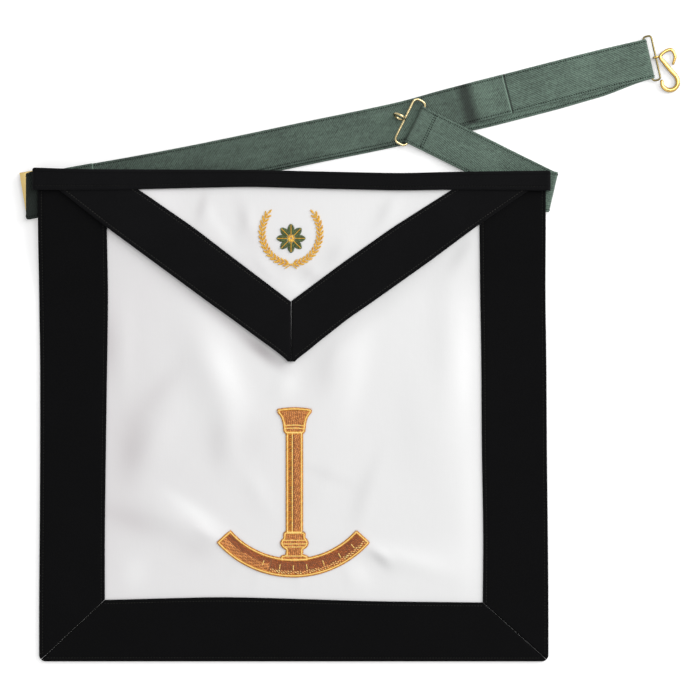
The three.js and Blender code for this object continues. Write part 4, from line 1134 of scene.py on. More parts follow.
def webbing_finish(name, colour, across_weave, along_weave, painted_light=()):
    """Webbing: slanting ribs, whose two counts are in turns per metre, with lengthwise streaks, soft fuzz and
    painted light: lighter towards the right, painted shade in its stitch grooves and nearly black where it
    folds at the left corner.

    painted_light holds places along it, in mm, of painted shade under creases and steps and painted highlight
    on lit edges: middle, reach and how far that darkens (below 0 it lightens).
    """
    finish = Finish(name, {"Specular IOR Level": 0.35, "Sheen Weight": 0.18, "Sheen Roughness": 0.5})
    across, along = finish.flat()
    x = finish.axes()[0]
    ribs = (along * float(along_weave) + across * float(across_weave)).sine()
    cross = (along * float(along_weave) * 0.5 - across * float(across_weave) * 1.6).sine()
    streaks = finish.noise(1.0, 3.0, 0.6, finish.vector(across * 420.0, along * 26.0, 0.0))
    fuzz = finish.noise(620.0, 2.0, 0.75)
    patches = finish.noise(30.0, 2.0)
    tone = streaks * 0.8 + patches * 0.7 + fuzz * 1.8 + ribs * 0.25 + cross * 0.1 - 1.15
    # Painted light: the webbing is painted lighter towards the right, where the light falls, and darker to
    # the left
    painted_falloff = (x * 2.3 + 0.45).clamp()
    # Painted shade: left of the apron's edge, where the webbing folds round the slide, it is painted nearly
    # black
    shaded = ((x + 0.249) * 110.0).clamp()
    dark = finish.blend(painted_falloff, coloured(colour, 0.25), coloured(colour, 0.62))
    light = finish.blend(painted_falloff, coloured(colour, 1.1), coloured(colour, 2.1))
    face = finish.blend(tone.clamp(), dark, light)
    # Painted shade in the sunk grooves along the stitch lines
    seam = (across - WEB_WIDTH * METRES / 2).math("ABSOLUTE") - (WEB_WIDTH / 2 - STITCH_IN) * METRES
    seam_groove_shade = (1.0 - seam.math("ABSOLUTE") * 900.0).clamp()
    face = finish.blend(seam_groove_shade * 0.3, face, coloured(colour, 0.3))
    # Painted shade of creases and steps, and painted highlight on lit edges, at places along the webbing
    for middle, reach, depth in painted_light:
        near = (1.35 - (along - middle * METRES).math("ABSOLUTE") / (reach * METRES)).clamp()
        face = finish.blend(near * abs(depth), face, coloured(colour, 0.12 if depth > 0 else 2.8))
    finish.feed("Base Color", finish.blend(shaded, (0.001, 0.006, 0.003, 1), face))
    finish.feed("Normal", finish.bump(ribs * 0.5 + cross * 0.3 + fuzz * 0.6, 0.7, 0.0004))
    finish.feed("Roughness", 0.6 + fuzz * 0.2)
    return finish


def brass_finish(name, colour, roughness=0.16):
    """Polished brass with faint handling marks, and painted reflection: faces that turn from straight up are
    painted dark.
    """
    finish = Finish(name, {"Metallic": 1.0})
    marks = finish.noise(220.0, 4.0, 0.7)
    facing = finish.parts(finish.node("ShaderNodeNewGeometry", {}, [], "Normal"))
    # Painted reflection: faces that turn away from straight up are painted dark, as if they mirrored a dark
    # room
    lit_top_share = (facing[2] * 1.8 - 0.55).clamp()
    polished = finish.blend(marks, coloured(colour, 0.92), coloured(colour, 1.08))
    finish.feed("Base Color", finish.blend(lit_top_share, coloured(colour, 0.22), polished))
    finish.feed("Roughness", roughness + marks * 0.14)
    finish.feed("Normal", finish.bump(marks, 0.08, 0.0003))
    return finish


def seam_finish(name, colour):
    """Matt sewing thread."""
    finish = Finish(name, {"Specular IOR Level": 0.1, "Roughness": 0.9})
    finish.feed("Base Color", finish.blend(finish.attribute("tone"), coloured(colour, 0.6), coloured(colour)))
    return finish


def thread_finish(name, dark, light, gloss=0.35):
    """Lustrous embroidery thread: each stitch has its own tone, with fine twisted strands."""
    finish = Finish(name, {"Specular IOR Level": 0.5, "Sheen Weight": 0.15})
    tone = finish.attribute("tone")
    x, y = finish.axes()[:2]
    strands = finish.noise(2600.0, 2.0, 0.6)
    share = (tone * 0.9 + strands * 0.6 - 0.25).clamp()
    finish.feed("Base Color", finish.blend(share, coloured(dark), coloured(light)))
    finish.feed("Normal", finish.bump(strands + (x * 7000.0 + y * 7000.0).sine() * 0.2, 0.4, 0.0002))
    finish.feed("Roughness", gloss + strands * 0.15)
    return finish


def colour_setting(name, description, default):
    return FloatVectorProperty(
        name=name, description=description, subtype="COLOR", default=default, min=0, max=1)


class ApronCloth(bpy.types.PropertyGroup):
    """Cloth of the apron."""

    satin_colour: colour_setting("Satin colour", "Colour of the satin", (0.8, 0.8, 0.8))
    velvet_colour: colour_setting("Velvet colour", "Colour of the velvet bands", (0.0026, 0.0026, 0.0029))
    seam_colour: colour_setting("Topstitch colour", "Colour of the topstitching", (0.045, 0.045, 0.04))
    satin_cells: IntProperty(
        name="Satin cells", description="Faces along each side of the satin panel",
        default=170, min=20, max=200)
    stitch_inset: FloatProperty(
        name="Stitch inset", description="Distance of the topstitching from a band's edge, in mm",
        default=2.9, min=1, max=6)
    band_rows: IntProperty(
        name="Band rows", description="Faces along a velvet band", default=240, min=40, max=500)


class ApronBelt(bpy.types.PropertyGroup):
    """Webbing and brass of the belt."""

    webbing_colour: colour_setting("Webbing colour", "Colour of the belt's webbing", (0.078, 0.118, 0.092))
    seam_colour: colour_setting("Seam colour", "Colour of the belt's stitching", (0.003, 0.006, 0.005))
    stitch_pitch: FloatProperty(
        name="Stitch pitch", description="Distance from one stitch to the next, in mm", default=1.95,
        min=1, max=6)
    brass_colour: colour_setting("Brass colour", "Colour of the fittings", (0.9, 0.6, 0.18))
    slide_colour: colour_setting("Slide colour", "Colour of the brass slide", (1.0, 0.74, 0.3))
    dull_brass_colour: colour_setting("Dull brass colour", "Colour of the hook's dull wire loop", (0.3, 0.24, 0.1))
    pale_colour: colour_setting("Pale brass colour", "Colour of the catch", (0.85, 0.7, 0.38))


class ApronThread(bpy.types.PropertyGroup):
    """Embroidery threads."""

    gold_colour: colour_setting("Gold thread", "Bright colour of the outlines", (1.0, 0.8, 0.3))
    gold_shade: colour_setting("Gold shade", "Deep colour of the outlines", (1.0, 0.58, 0.1))
    bronze_colour: colour_setting("Bronze thread", "Bright colour of the column's fill", (1.0, 0.43, 0.12))
    bronze_shade: colour_setting("Bronze shade", "Deep colour of the column's fill", (0.5, 0.17, 0.035))
    red_colour: colour_setting("Red bronze thread", "Colour of the curved band's fill", (0.54, 0.135, 0.025))
    ochre_colour: colour_setting("Ochre thread", "Colour of the column's shaded side", (0.85, 0.32, 0.02))
    leaf_colour: colour_setting("Leaf thread", "Bright colour of the wreath", (1.0, 0.68, 0.1))
    shade_colour: colour_setting("Leaf shade", "Deep colour of the wreath", (0.72, 0.3, 0.012))
    green_colour: colour_setting("Green thread", "Colour of the rosette", (0.12, 0.17, 0.05))
    fill_pitch: FloatProperty(
        name="Fill pitch", description="Distance between the threads of a fill, in mm", default=0.95,
        min=0.3, max=2)


class ApronStage(bpy.types.PropertyGroup):
    """Floor, light and camera."""

    camera_height: FloatProperty(
        name="Camera height", description="Height of the camera over the floor", default=2.336,
        min=0.3, max=5, unit="LENGTH")
    lens: FloatProperty(
        name="Lens", description="Focal length, in mm", default=150, min=20, max=300)
    key_power: FloatProperty(
        name="Key light", description="Power of the large soft light", default=34, min=0, max=200)


def satin_top(x, y):
    """Height of the satin ground's face."""
    return underside(x, y) + SATIN_THICK + satin_swell(x, y)


def flap_top(x, y):
    """Height of the flap satin's face."""
    down = (FLAP_START - y) / FLAP_DROP
    reach = FLAP_HALF * (1 - down) - FLAP_BAND_SPAN
    inside = soft((reach - np.abs(x - FLAP_MIDDLE)) / FLAP_PRESS) * soft(down / 0.06)
    return underside(x, y) + FLAP_LEVEL + SATIN_THICK + crease_height(x, y, FLAP_CREASES) * inside


def solidify(piece, thickness):
    apply_modifier(piece, "SOLIDIFY", thickness=thickness * METRES, offset=-1.0, use_even_offset=False)


def half_width(table, down):
    return FLAP_HALF * read(table, down, 0.02)


def lay_satin(name, node, places, top, painted_light, finish, **sheet):
    """Lays a panel of satin over a grid of xy places and hides the part it stands for."""
    x, y = places
    piece = shaped_grid(name, np.dstack([x, y, top(x, y)]), np.dstack([x, y]) * METRES)
    solidify(piece, SATIN_THICK)
    shade_cloth(piece, painted_light)
    wear(piece, finish)
    stand_in(piece, node)


def lay_band(name, node, rows, section, finish, thread, seams, mitres, sheet, mitre=False, **folding):
    """Lays a velvet band with its topstitching and hides the part it stands for."""
    piece, places = folded_band(name, *rows, section, mitres, **folding)
    lines = [seam_row(places, section, inset) for inset in seams]
    if mitre:
        lines.append(mitre_row(places, section))
    seam = sew(f"{name}_stitching", lines, thread)
    wear(piece, finish)
    stand_in(piece, node)


class APRON_OT_satin(bpy.types.Operator):
    """Lay the satin ground of the apron"""

    bl_idname = "apron.satin"
    bl_label = "Satin ground"

    def execute(self, context):
        cloth = context.scene.apron_cloth
        inset = VELVET_THICK + CLOTH_GAP
        low = APRON_BOTTOM + inset
        high = APRON_TOP - WAIST_HEIGHT * TOP_TUCK - inset
        corner = np.array([0, 0.15, 0.45, 1]) * CORNER_RADIUS + low
        rest = np.linspace(low + CORNER_RADIUS, high, cloth.satin_cells)[1:]
        heights = np.concatenate([corner, rest])
        from_centre = np.clip(CORNER_RADIUS - (heights - low), 0, CORNER_RADIUS)
        rounding = 0.9 * (CORNER_RADIUS - np.sqrt(CORNER_RADIUS ** 2 - from_centre ** 2))
        left = left_edge(heights) + inset + rounding
        right = right_edge(heights) - inset - rounding
        share = np.linspace(0, 1, cloth.satin_cells)
        x = left[:, None] + (right - left)[:, None] * share
        y = np.repeat(heights[:, None], len(share), axis=1)
        finish = satin_finish("Satin", cloth.satin_colour)
        lay_satin("satin_ground", "satin_panel", (x, y), satin_top, SATIN_PAINTED_LIGHT, finish, flat=SATIN_FLAT)
        return {"FINISHED"}


def side_rows(on_right, count):
    """Outer and inner rows of a side band, from its mitre up to the waistband."""
    edge = right_edge if on_right else left_edge
    band_edge = right_band_edge if on_right else left_band_edge
    sign = 1 if on_right else -1
    top = APRON_TOP - WAIST_HEIGHT * TOP_TUCK - VELVET_THICK - CLOTH_GAP
    inner_corner = float(bottom_band_edge(1.0 if on_right else 0.0))
    centre_x = float(edge(APRON_BOTTOM)) - sign * CORNER_RADIUS
    angles = np.radians(np.linspace(45, 0, 8))
    outer = np.column_stack([
        centre_x + sign * CORNER_RADIUS * np.cos(angles),
        APRON_BOTTOM + CORNER_RADIUS - CORNER_RADIUS * np.sin(angles) + SEAM_GAP / 2,
    ])
    straight = np.linspace(APRON_BOTTOM + CORNER_RADIUS + SEAM_GAP / 2, top, count)[1:]
    outer = np.vstack([outer, np.column_stack([edge(straight), straight])])
    walked = distances(outer)
    inner_y = inner_corner + SEAM_GAP / 2 + (top - inner_corner - SEAM_GAP / 2) * walked / walked[-1]
    inner = np.column_stack([band_edge(inner_y), inner_y])
    return outer, inner


def bottom_rows(count):
    """Outer and inner rows of the bottom band, from its left mitre to its right one."""
    left = float(left_edge(APRON_BOTTOM)) + CORNER_RADIUS
    right = float(right_edge(APRON_BOTTOM)) - CORNER_RADIUS
    angles = np.radians(np.linspace(45, 90, 8))
    curve_y = APRON_BOTTOM + CORNER_RADIUS - CORNER_RADIUS * np.sin(angles)
    start = np.column_stack([left - CORNER_RADIUS * np.cos(angles) + SEAM_GAP / 2, curve_y])
    end = np.column_stack([right + CORNER_RADIUS * np.cos(angles) - SEAM_GAP / 2, curve_y])[::-1]
    straight = np.linspace(start[-1, 0], end[0, 0], count)[1:-1]
    outer = np.vstack([start, np.column_stack([straight, np.full(len(straight), APRON_BOTTOM)]), end])
    inner_left = float(left_band_edge(bottom_band_edge(0.0))) + SEAM_GAP / 2
    inner_right = float(right_band_edge(bottom_band_edge(1.0))) - SEAM_GAP / 2
    walked = distances(outer)
    across = walked / walked[-1]
    inner = np.column_stack([inner_left + (inner_right - inner_left) * across, bottom_band_edge(across)])
    return outer, inner


def flap_rows(side, count):
    """Outer and inner rows of one flap band, from the waistband to the mitre at the tip."""
    sign, edges, bands = FLAP_SIDES[side]
    down = np.linspace(-FLAP_TUCK / FLAP_DROP, 1, 400)
    half = half_width(edges, down)
    outer = np.column_stack([FLAP_MIDDLE + sign * half, FLAP_START - FLAP_DROP * down])
    outer = np.vstack([outer, [FLAP_MIDDLE + sign * FLAP_SEAM / 2, FLAP_START - FLAP_DROP]])
    inner_half = half - FLAP_BAND_SPAN * read(bands, down, 0.03)
    keep = inner_half > FLAP_SEAM / 2
    inner = np.column_stack([FLAP_MIDDLE + sign * inner_half[keep], FLAP_START - FLAP_DROP * down[keep]])
    rows = []
    for line in (outer, inner):
        walked = distances(line)
        rows.append(along_line(line, walked, np.linspace(0, walked[-1], count)))
    return rows


class APRON_OT_velvet(bpy.types.Operator):
    """Lay the velvet bands round the apron"""

    bl_idname = "apron.velvet"
    bl_label = "Velvet bands"

    def execute(self, context):
        cloth = context.scene.apron_cloth
        finish = velvet_finish("Velvet", cloth.velvet_colour)
        thread = seam_finish("Black thread", coloured(cloth.seam_colour, 0.6))
        inset = cloth.stitch_inset
        bands = (
            ("velvet_left", "border_left", side_rows(False, cloth.band_rows), (True, False), SIDE_BAND, 388),
            ("velvet_right", "border_right", side_rows(True, cloth.band_rows), (True, False), SIDE_BAND, 388),
            ("velvet_bottom", "border_bottom", bottom_rows(cloth.band_rows), (True, True), BOTTOM_BAND, 406),
        )
        for name, node, rows, mitres, width, length in bands:
            section = band_section(width, 0, BAND_LEVEL, BAND_LEVEL + VELVET_THICK, inset)
            sheet = {"flat": (width * METRES + TURNED_EDGE, length * METRES), "rests_on": ["satin_ground"]}
            lay_band(name, node, rows, section, finish, thread, (inset, width - inset), mitres, sheet,
                     mitre=name == "velvet_left")
        return {"FINISHED"}


class APRON_OT_flap(bpy.types.Operator):
    """Turn down the flap with its satin and velvet"""

    bl_idname = "apron.flap"
    bl_label = "Flap"

    def execute(self, context):
        cloth = context.scene.apron_cloth
        inset = 1.4 * (VELVET_THICK + CLOTH_GAP)
        down = np.linspace(-FLAP_TUCK / FLAP_DROP, 0.92, 110)
        left = FLAP_MIDDLE - half_width(FLAP_LEFT, down) + inset
        right = FLAP_MIDDLE + half_width(FLAP_RIGHT, down) - inset
        share = np.linspace(0, 1, 140)
        x = left[:, None] + (right - left)[:, None] * share
        y = np.repeat((FLAP_START - FLAP_DROP * down)[:, None], len(share), axis=1)
        finish = satin_finish("Flap satin", cloth.satin_colour)
        lay_satin("flap_satin", "flap_panel", (x[::-1], y[::-1]), flap_top, FLAP_PAINTED_LIGHT, finish,
                  flat=FLAP_FLAT, rests_on=["satin_ground"], area=FLAP_AREA)
        # Painted light: the flap's velvet is the bands' velvet painted 1.5 times lighter, for the light its
        # pile catches
        finish = velvet_finish("Flap velvet", coloured(cloth.velvet_colour, 1.5))
        thread = seam_finish("Flap thread", cloth.seam_colour)
        width = FLAP_BAND_WIDTH
        inset = cloth.stitch_inset
        section = band_section(width, FLAP_LEVEL, FLAP_BAND_LEVEL, FLAP_BAND_LEVEL + VELVET_THICK, inset)
        sheet = {"flat": FLAP_BAND_FLAT, "rests_on": ["flap_satin"], "area": FLAP_BAND_AREA}
        for side in ("left", "right"):
            lay_band(f"flap_velvet_{side}", f"flap_border_{side}", flap_rows(side, cloth.band_rows), section,
                     finish, thread, (inset, width - inset), (False, True), sheet)
        return {"FINISHED"}


class APRON_OT_waistband(bpy.types.Operator):
    """Bind the top edge with the waistband"""

    bl_idname = "apron.waistband"
    bl_label = "Waistband"

    def execute(self, context):
        cloth = context.scene.apron_cloth
        left = APRON_LEFT - WAIST_OVERHANG
        right = APRON_LEFT + APRON_WIDTH + WAIST_OVERHANG / 2
        x = np.linspace(left, right, cloth.band_rows)
        across = (x - left) / (right - left)
        outer = np.column_stack([x, waist_top(across)])
        inner = np.column_stack([x, waist_bottom(across)])
        inset = cloth.stitch_inset
        section = band_section(WAIST_HEIGHT, 0, WAIST_LEVEL, WAIST_LEVEL + VELVET_THICK, inset, roll=2.0)
        thread = seam_finish("Waistband thread", coloured(cloth.seam_colour, 0.35))
        # Painted light: the waistband's velvet is the bands' velvet painted 1.7 times lighter, for the light
        # its pile catches
        finish = velvet_finish("Waistband velvet", coloured(cloth.velvet_colour, 1.7))
        lay_band("waist_binding", "waistband", (outer, inner), section, finish, thread,
                 (WAIST_HEIGHT - inset,), (False, False), {"flat": WAIST_FLAT, "rests_on": ["flap_satin"]},
                 end_walls=True, ground=lambda x, y: underside(x, np.full(np.shape(y), APRON_TOP)))
        return {"FINISHED"}


class APRON_OT_straps(bpy.types.Operator):
    """Thread the webbing of the belt"""

    bl_idname = "apron.straps"
    bl_label = "Belt webbing"

    def execute(self, context):
        belt = context.scene.apron_belt
        under_hem = 2 * HOOK_WIRE - (WEBBING_JOIN + STRAP_HEM) * BELT_LENGTH + math.pi * WIRE_TURN
        # Painted shadow that the long strap's hem casts on the hook's webbing under it
        under_hem_shadow = ((under_hem - 0.8, 0.9, 0.8),)
        ribbed = webbing_finish("Ribbed webbing", belt.webbing_colour, *RIBBED_WEAVE, HEM_PAINTED_LIGHT)
        twilled = webbing_finish("Twilled webbing", belt.webbing_colour, *TWILLED_WEAVE, under_hem_shadow)
        slanted = webbing_finish("Slanted webbing", belt.webbing_colour, *SLANTED_WEAVE)
        seam = seam_finish("Belt thread", belt.seam_colour)
        strap = belt_edges(*strap_path())
        hook = belt_edges(*hook_path())
        tab = belt_edges(tab_path(), False)
        short = short_strap_edges()
        runs = (
            ("belt_webbing", "long_strap", strap, ribbed, ()),
            ("hook_webbing", "hook_strap", hook, twilled, ()),
            ("slide_webbing", "slide_tab", tab, ribbed, ()),
            ("catch_webbing", "short_strap", short, slanted, self.hem_rows(short)),
        )
        for name, node, (left, right), finish, hems in runs:
            piece, rows = ribbon(name, left, right)
            middles = (left + right) / 2
            thread = running_stitches(f"{name}_stitching", [*rows, *hems], belt.stitch_pitch,
                                      belt.stitch_pitch * BELT_STITCH_SHARE, BELT_STITCH_RADIUS)
            wear(piece, finish)
            wear(thread, seam)
            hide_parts(node)
            for part in (piece, thread):
                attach(part, "apron")
        return {"FINISHED"}

    def hem_rows(self, edges):
        """The double seam across the short strap that holds its hem round the catch."""
        left, right = edges
        middles = (left + right) / 2
        walked = (middles - SHORT_FOLD) @ SHORT_AHEAD
        rising = np.flatnonzero(np.diff(walked) > 0.01)
        lines = []
        for place in (CATCH_HEM - 1.2, CATCH_HEM + 0.6):
            row = rising[np.argmin(np.abs(walked[rising] - place))]
            lines += cross_row(left, right, int(row))
        return lines


class APRON_OT_slide(bpy.types.Operator):
    """Cut the brass slide at the left corner"""

    bl_idname = "apron.slide"
    bl_label = "Brass slide"

    def execute(self, context):
        belt = context.scene.apron_belt
        slot_half = WEB_WIDTH / 2 + SLIDE_SLACK
        half = slot_half + SLIDE_END_BAR
        widths = [0, SLIDE_BAR + SLIDE_LIP, SLIDE_SLOT - SLIDE_LIP, SLIDE_BAR, SLIDE_SLOT, SLIDE_BAR]
        stops_x = np.cumsum(widths)
        stops_y = np.array([-half, -slot_half, slot_half, half]) + SLIDE_SHIFT
        x, y = np.meshgrid(stops_x, stops_y)
        ahead = np.array([math.cos(SLIDE_LEAN), math.sin(SLIDE_LEAN)])
        aside = np.array([-ahead[1], ahead[0]])
        start = np.array(BELT_START) + ahead * SLIDE_START
        flat = start + x[..., None] * ahead + y[..., None] * aside
        places = np.dstack([flat, np.full(x.shape, SLIDE_UNDER + SLIDE_THICK)])
        piece = shaped_grid("brass_slide", places, np.dstack([x, y]) * METRES)
        for polygon in piece.data.polygons:
            centre = np.array(polygon.center[:2]) / METRES - start
            along = float(centre @ ahead)
            in_slot = any(low < along < low + SLIDE_SLOT for low in (SLIDE_BAR, 2 * SLIDE_BAR + SLIDE_SLOT))
            polygon.select = in_slot and abs(float(centre @ aside) - SLIDE_SHIFT) < slot_half
        chosen = [polygon.index for polygon in piece.data.polygons if polygon.select]
        bpy.ops.object.mode_set(mode="EDIT")
        bpy.ops.mesh.select_mode(type="FACE")
        bpy.ops.mesh.select_all(action="DESELECT")
        bpy.ops.object.mode_set(mode="OBJECT")
        for index in chosen:
            piece.data.polygons[index].select = True
        bpy.ops.object.mode_set(mode="EDIT")
        bpy.ops.mesh.delete(type="FACE")
        bpy.ops.object.mode_set(mode="OBJECT")
        solidify(piece, SLIDE_THICK)
        apply_modifier(piece, "BEVEL", width=0.45 * METRES, segments=3, limit_method="ANGLE")
        bpy.ops.object.shade_smooth_by_angle(angle=math.radians(40))
        wear(piece, brass_finish("Slide brass", belt.slide_colour, 0.3))
        stand_in(piece, "strap_slide")
        return {"FINISHED"}


class APRON_OT_wires(bpy.types.Operator):
    """Bend the wire loops and the snake hook"""

    bl_idname = "apron.wires"
    bl_label = "Wire loops and hook"

    def execute(self, context):
        belt = context.scene.apron_belt
        bright = brass_finish("Brass", belt.brass_colour)
        # The hook's wire loop is a darker, rougher brass than the hook itself
        dull_brass = brass_finish("Dull brass", belt.dull_brass_colour, 0.3)
        pale = brass_finish("Pale brass", belt.pale_colour)
        ahead = np.append(belt_ahead(np.array([BELT_LENGTH - 0.6]))[0], 0)
        across = np.array([-ahead[1], ahead[0], 0])
        upwards = np.array([0, 0, 1.0])
        end = np.append(BELT[-1], 0)
        pivot = end + ahead * (HOOK_WIRE - BELT_LENGTH) + upwards * HOOK_WIRE_UP
        front_up = HOOK_RING + WIRE_RADIUS + 0.05
        bar = pivot * [1, 1, 0] + ahead * HOOK_LOOP_DEPTH + upwards * front_up
        outline = loop_points(pivot, ahead, across, HOOK_LOOP_DEPTH, front_up - HOOK_WIRE_UP, HOOK_END_PLAY)
        loop = tube("hook_wire", outline, WIRE_RADIUS, endless=True)
        wear(loop, dull_brass)
        stand_in(loop, "hook_loop", "hook_loop")
        ring = tube("hook_ring", ring_points(bar, ahead, upwards, HOOK_RING), WIRE_RADIUS, endless=True)
        stops = [(
            bar[0] + HOOK_WIDTH * out,
            bar[1] + HOOK_LENGTH * up,
            front_up + (HOOK_BODY_UP - front_up) * min(1, max(0, out - 0.2) * 2),
        ) for out, up in HOOK_LINE]
        line, walked = curve_through(stops)
        share = np.linspace(0, 1, 110)
        points = along_line(line, walked, walked[-1] * share)
        body = tube("hook_body", points, read(HOOK_THICKNESS, share, 0.04), sides=18)
        hook = join_pieces("hook_brass", [body, ring])
        wear(hook, bright)
        stand_in(hook, "snake_hook", "snake_hook")
        catch = SHORT_FOLD + SHORT_AHEAD * CATCH_WIRE + upwards * CATCH_WIRE_UP
        catch_up = 2 * WEB_PITCH + CATCH_RING * math.sin(CATCH_TILT) + WIRE_RADIUS
        outline = loop_points(catch, SHORT_AHEAD, SHORT_ACROSS, CATCH_DEPTH, catch_up - CATCH_WIRE_UP,
                              CATCH_END_PLAY)
        loop = tube("catch_wire", outline, CATCH_RADIUS, endless=True)
        centre = catch * [1, 1, 0] + SHORT_AHEAD * (CATCH_DEPTH + CATCH_RING) + upwards * catch_up
        tilted = SHORT_ACROSS * math.cos(CATCH_TILT) + upwards * math.sin(CATCH_TILT)
        circle = ring_points(centre, SHORT_AHEAD, tilted, CATCH_RING)
        ring = tube("catch_ring", circle, CATCH_RADIUS, endless=True)
        clasp = join_pieces("catch_brass", [loop, ring])
        wear(clasp, pale)
        stand_in(clasp, "catch_loop", "catch_loop")
        return {"FINISHED"}



def on_satin(points, lift, surface=satin_top):
    """Gives xy points their height over a cloth."""
    points = np.asarray(points, dtype=float)
    return np.column_stack([points, surface(points[:, 0], points[:, 1]) + lift])


def thread_pad(name, left, right):
    """A low padded base under a fill, between two edges of xy rows."""
    left = np.asarray(left, dtype=float)
    right = np.asarray(right, dtype=float)
    share = np.linspace(0, 1, 9)
    flat = left[:, None] + (right - left)[:, None] * share[None, :, None]
    dome = THREAD_LIFT * (0.35 + 0.65 * (1 - (2 * share - 1) ** 4))
    piece = shaped_grid(name, np.dstack([flat, satin_top(flat[..., 0], flat[..., 1]) + dome]))
    face_outwards()
    if piece.data.polygons[0].normal.z < 0:
        piece.data.flip_normals()
    solidify(piece, PAD_THICK)
    return piece


def corded_line(name, points, width, finish, surface=satin_top, lift=THREAD_LIFT, endless=False):
    """A narrow line of slanted satin stitches along xy points."""
    points = np.asarray(points, dtype=float)
    if endless:
        points = np.vstack([points, points[:1]])
    walked = distances(points)
    count = max(2, int(walked[-1] / CORD_PITCH))
    stops = np.linspace(0, walked[-1], count)
    middle = along_line(points, walked, stops)
    after = along_line(points, walked, np.minimum(stops + CORD_REACH, walked[-1]))
    ahead = unit(after - along_line(points, walked, np.maximum(stops - CORD_REACH, 0)))
    aside = np.column_stack([-ahead[:, 1], ahead[:, 0]])
    slant = aside * width / 2 - ahead * width * CORD_LEAN
    start = on_satin(middle + slant, lift, surface)
    end = on_satin(middle - slant, lift, surface)
    cord = stitches(name, start, end, CORD_PITCH * 0.62, CORD_BULGE)
    wear(cord, finish)
    return cord


def hatch(inside, middle, reach, heading, pitch, length):
    """Ends of parallel stitches that fill a region, each row broken into staggered stitches of one length.

    inside tells which xy points are in the region, within reach of its middle.
    """
    ahead = np.array([math.cos(math.radians(heading)), math.sin(math.radians(heading))])
    aside = np.array([-ahead[1], ahead[0]])
    walk = np.arange(-reach, reach, 0.2)
    starts = []
    ends = []
    for row, offset in enumerate(np.arange(-reach, reach, pitch)):
        line = np.asarray(middle) + aside * offset + ahead * walk[:, None]
        kept = inside(line[:, 0], line[:, 1])
        cell = np.floor((walk + (row * 0.37 % 1) * length) / length)
        runs = np.flatnonzero(np.diff(np.concatenate([[-1e9], np.where(kept, cell, -1e9), [-1e9]])))
        for first, after in zip(runs, runs[1:]):
            if kept[first] and after - first > 3:
                starts.append(line[first])
                ends.append(line[after - 1])
    return np.array(starts), np.array(ends)


def fill(name, ends, finish, thickness=0.42):
    """Threads of one finish laid on the satin between pairs of xy ends."""
    starts, stops = [on_satin(places, THREAD_LIFT) for places in ends]
    threads = stitches(name, starts, stops, thickness, FILL_BULGE)
    wear(threads, finish)
    return threads


# Column: share of its height, then half width as a share of the column's
BASE_SHAPE = (
    (0.0, 0.78), (0.02, 0.78), (0.026, 0.46), (0.07, 0.45), (0.085, 0.66), (0.098, 0.76), (0.112, 0.79),
    (0.128, 0.72), (0.138, 0.62), (0.15, 0.6), (0.172, 0.6), (0.178, 0.52),
)
SHAFT_SHAPE = ((0.178, 0.44), (0.84, 0.44))
CAPITAL_SHAPE = (
    (0.842, 0.5), (0.85, 0.58), (0.863, 0.6), (0.888, 0.615), (0.913, 0.66), (0.938, 0.73), (0.957, 0.83),
    (0.976, 0.97), (0.988, 1.0),
)
# Parts of the column: name, node, shape, shares of the height that it fills, and its rings
COLUMN_PARTS = (
    ("foot_thread", "column_base", BASE_SHAPE, (0.0, 0.176), (0.024, 0.084, 0.104, 0.128)),
    ("shaft_thread", "column_shaft", SHAFT_SHAPE, (0.182, 0.838), ()),
    ("capital_thread", "column_capital", CAPITAL_SHAPE, (0.842, 0.988), (0.866, 0.886)),
)
COLUMN_STITCH = 2.1
SHAFT_SPLIT = COLUMN_X - 1.7
SHADOW_EDGE = SHAFT_SPLIT + 1.5
GRADUATIONS = (-19, -8.4, 0, 8.4, 19, 30, 40)


def column_edges(shape):
    """Left and right edges of a part of the column as functions of the height up the apron."""
    def half(y):
        return COLUMN_HALF * read(shape, (y - COLUMN_FOOT) / COLUMN_HEIGHT, 0.004)

    return (lambda y: COLUMN_X - half(y)), (lambda y: COLUMN_X + half(y))


def column_y(share):
    return COLUMN_FOOT + COLUMN_HEIGHT * share


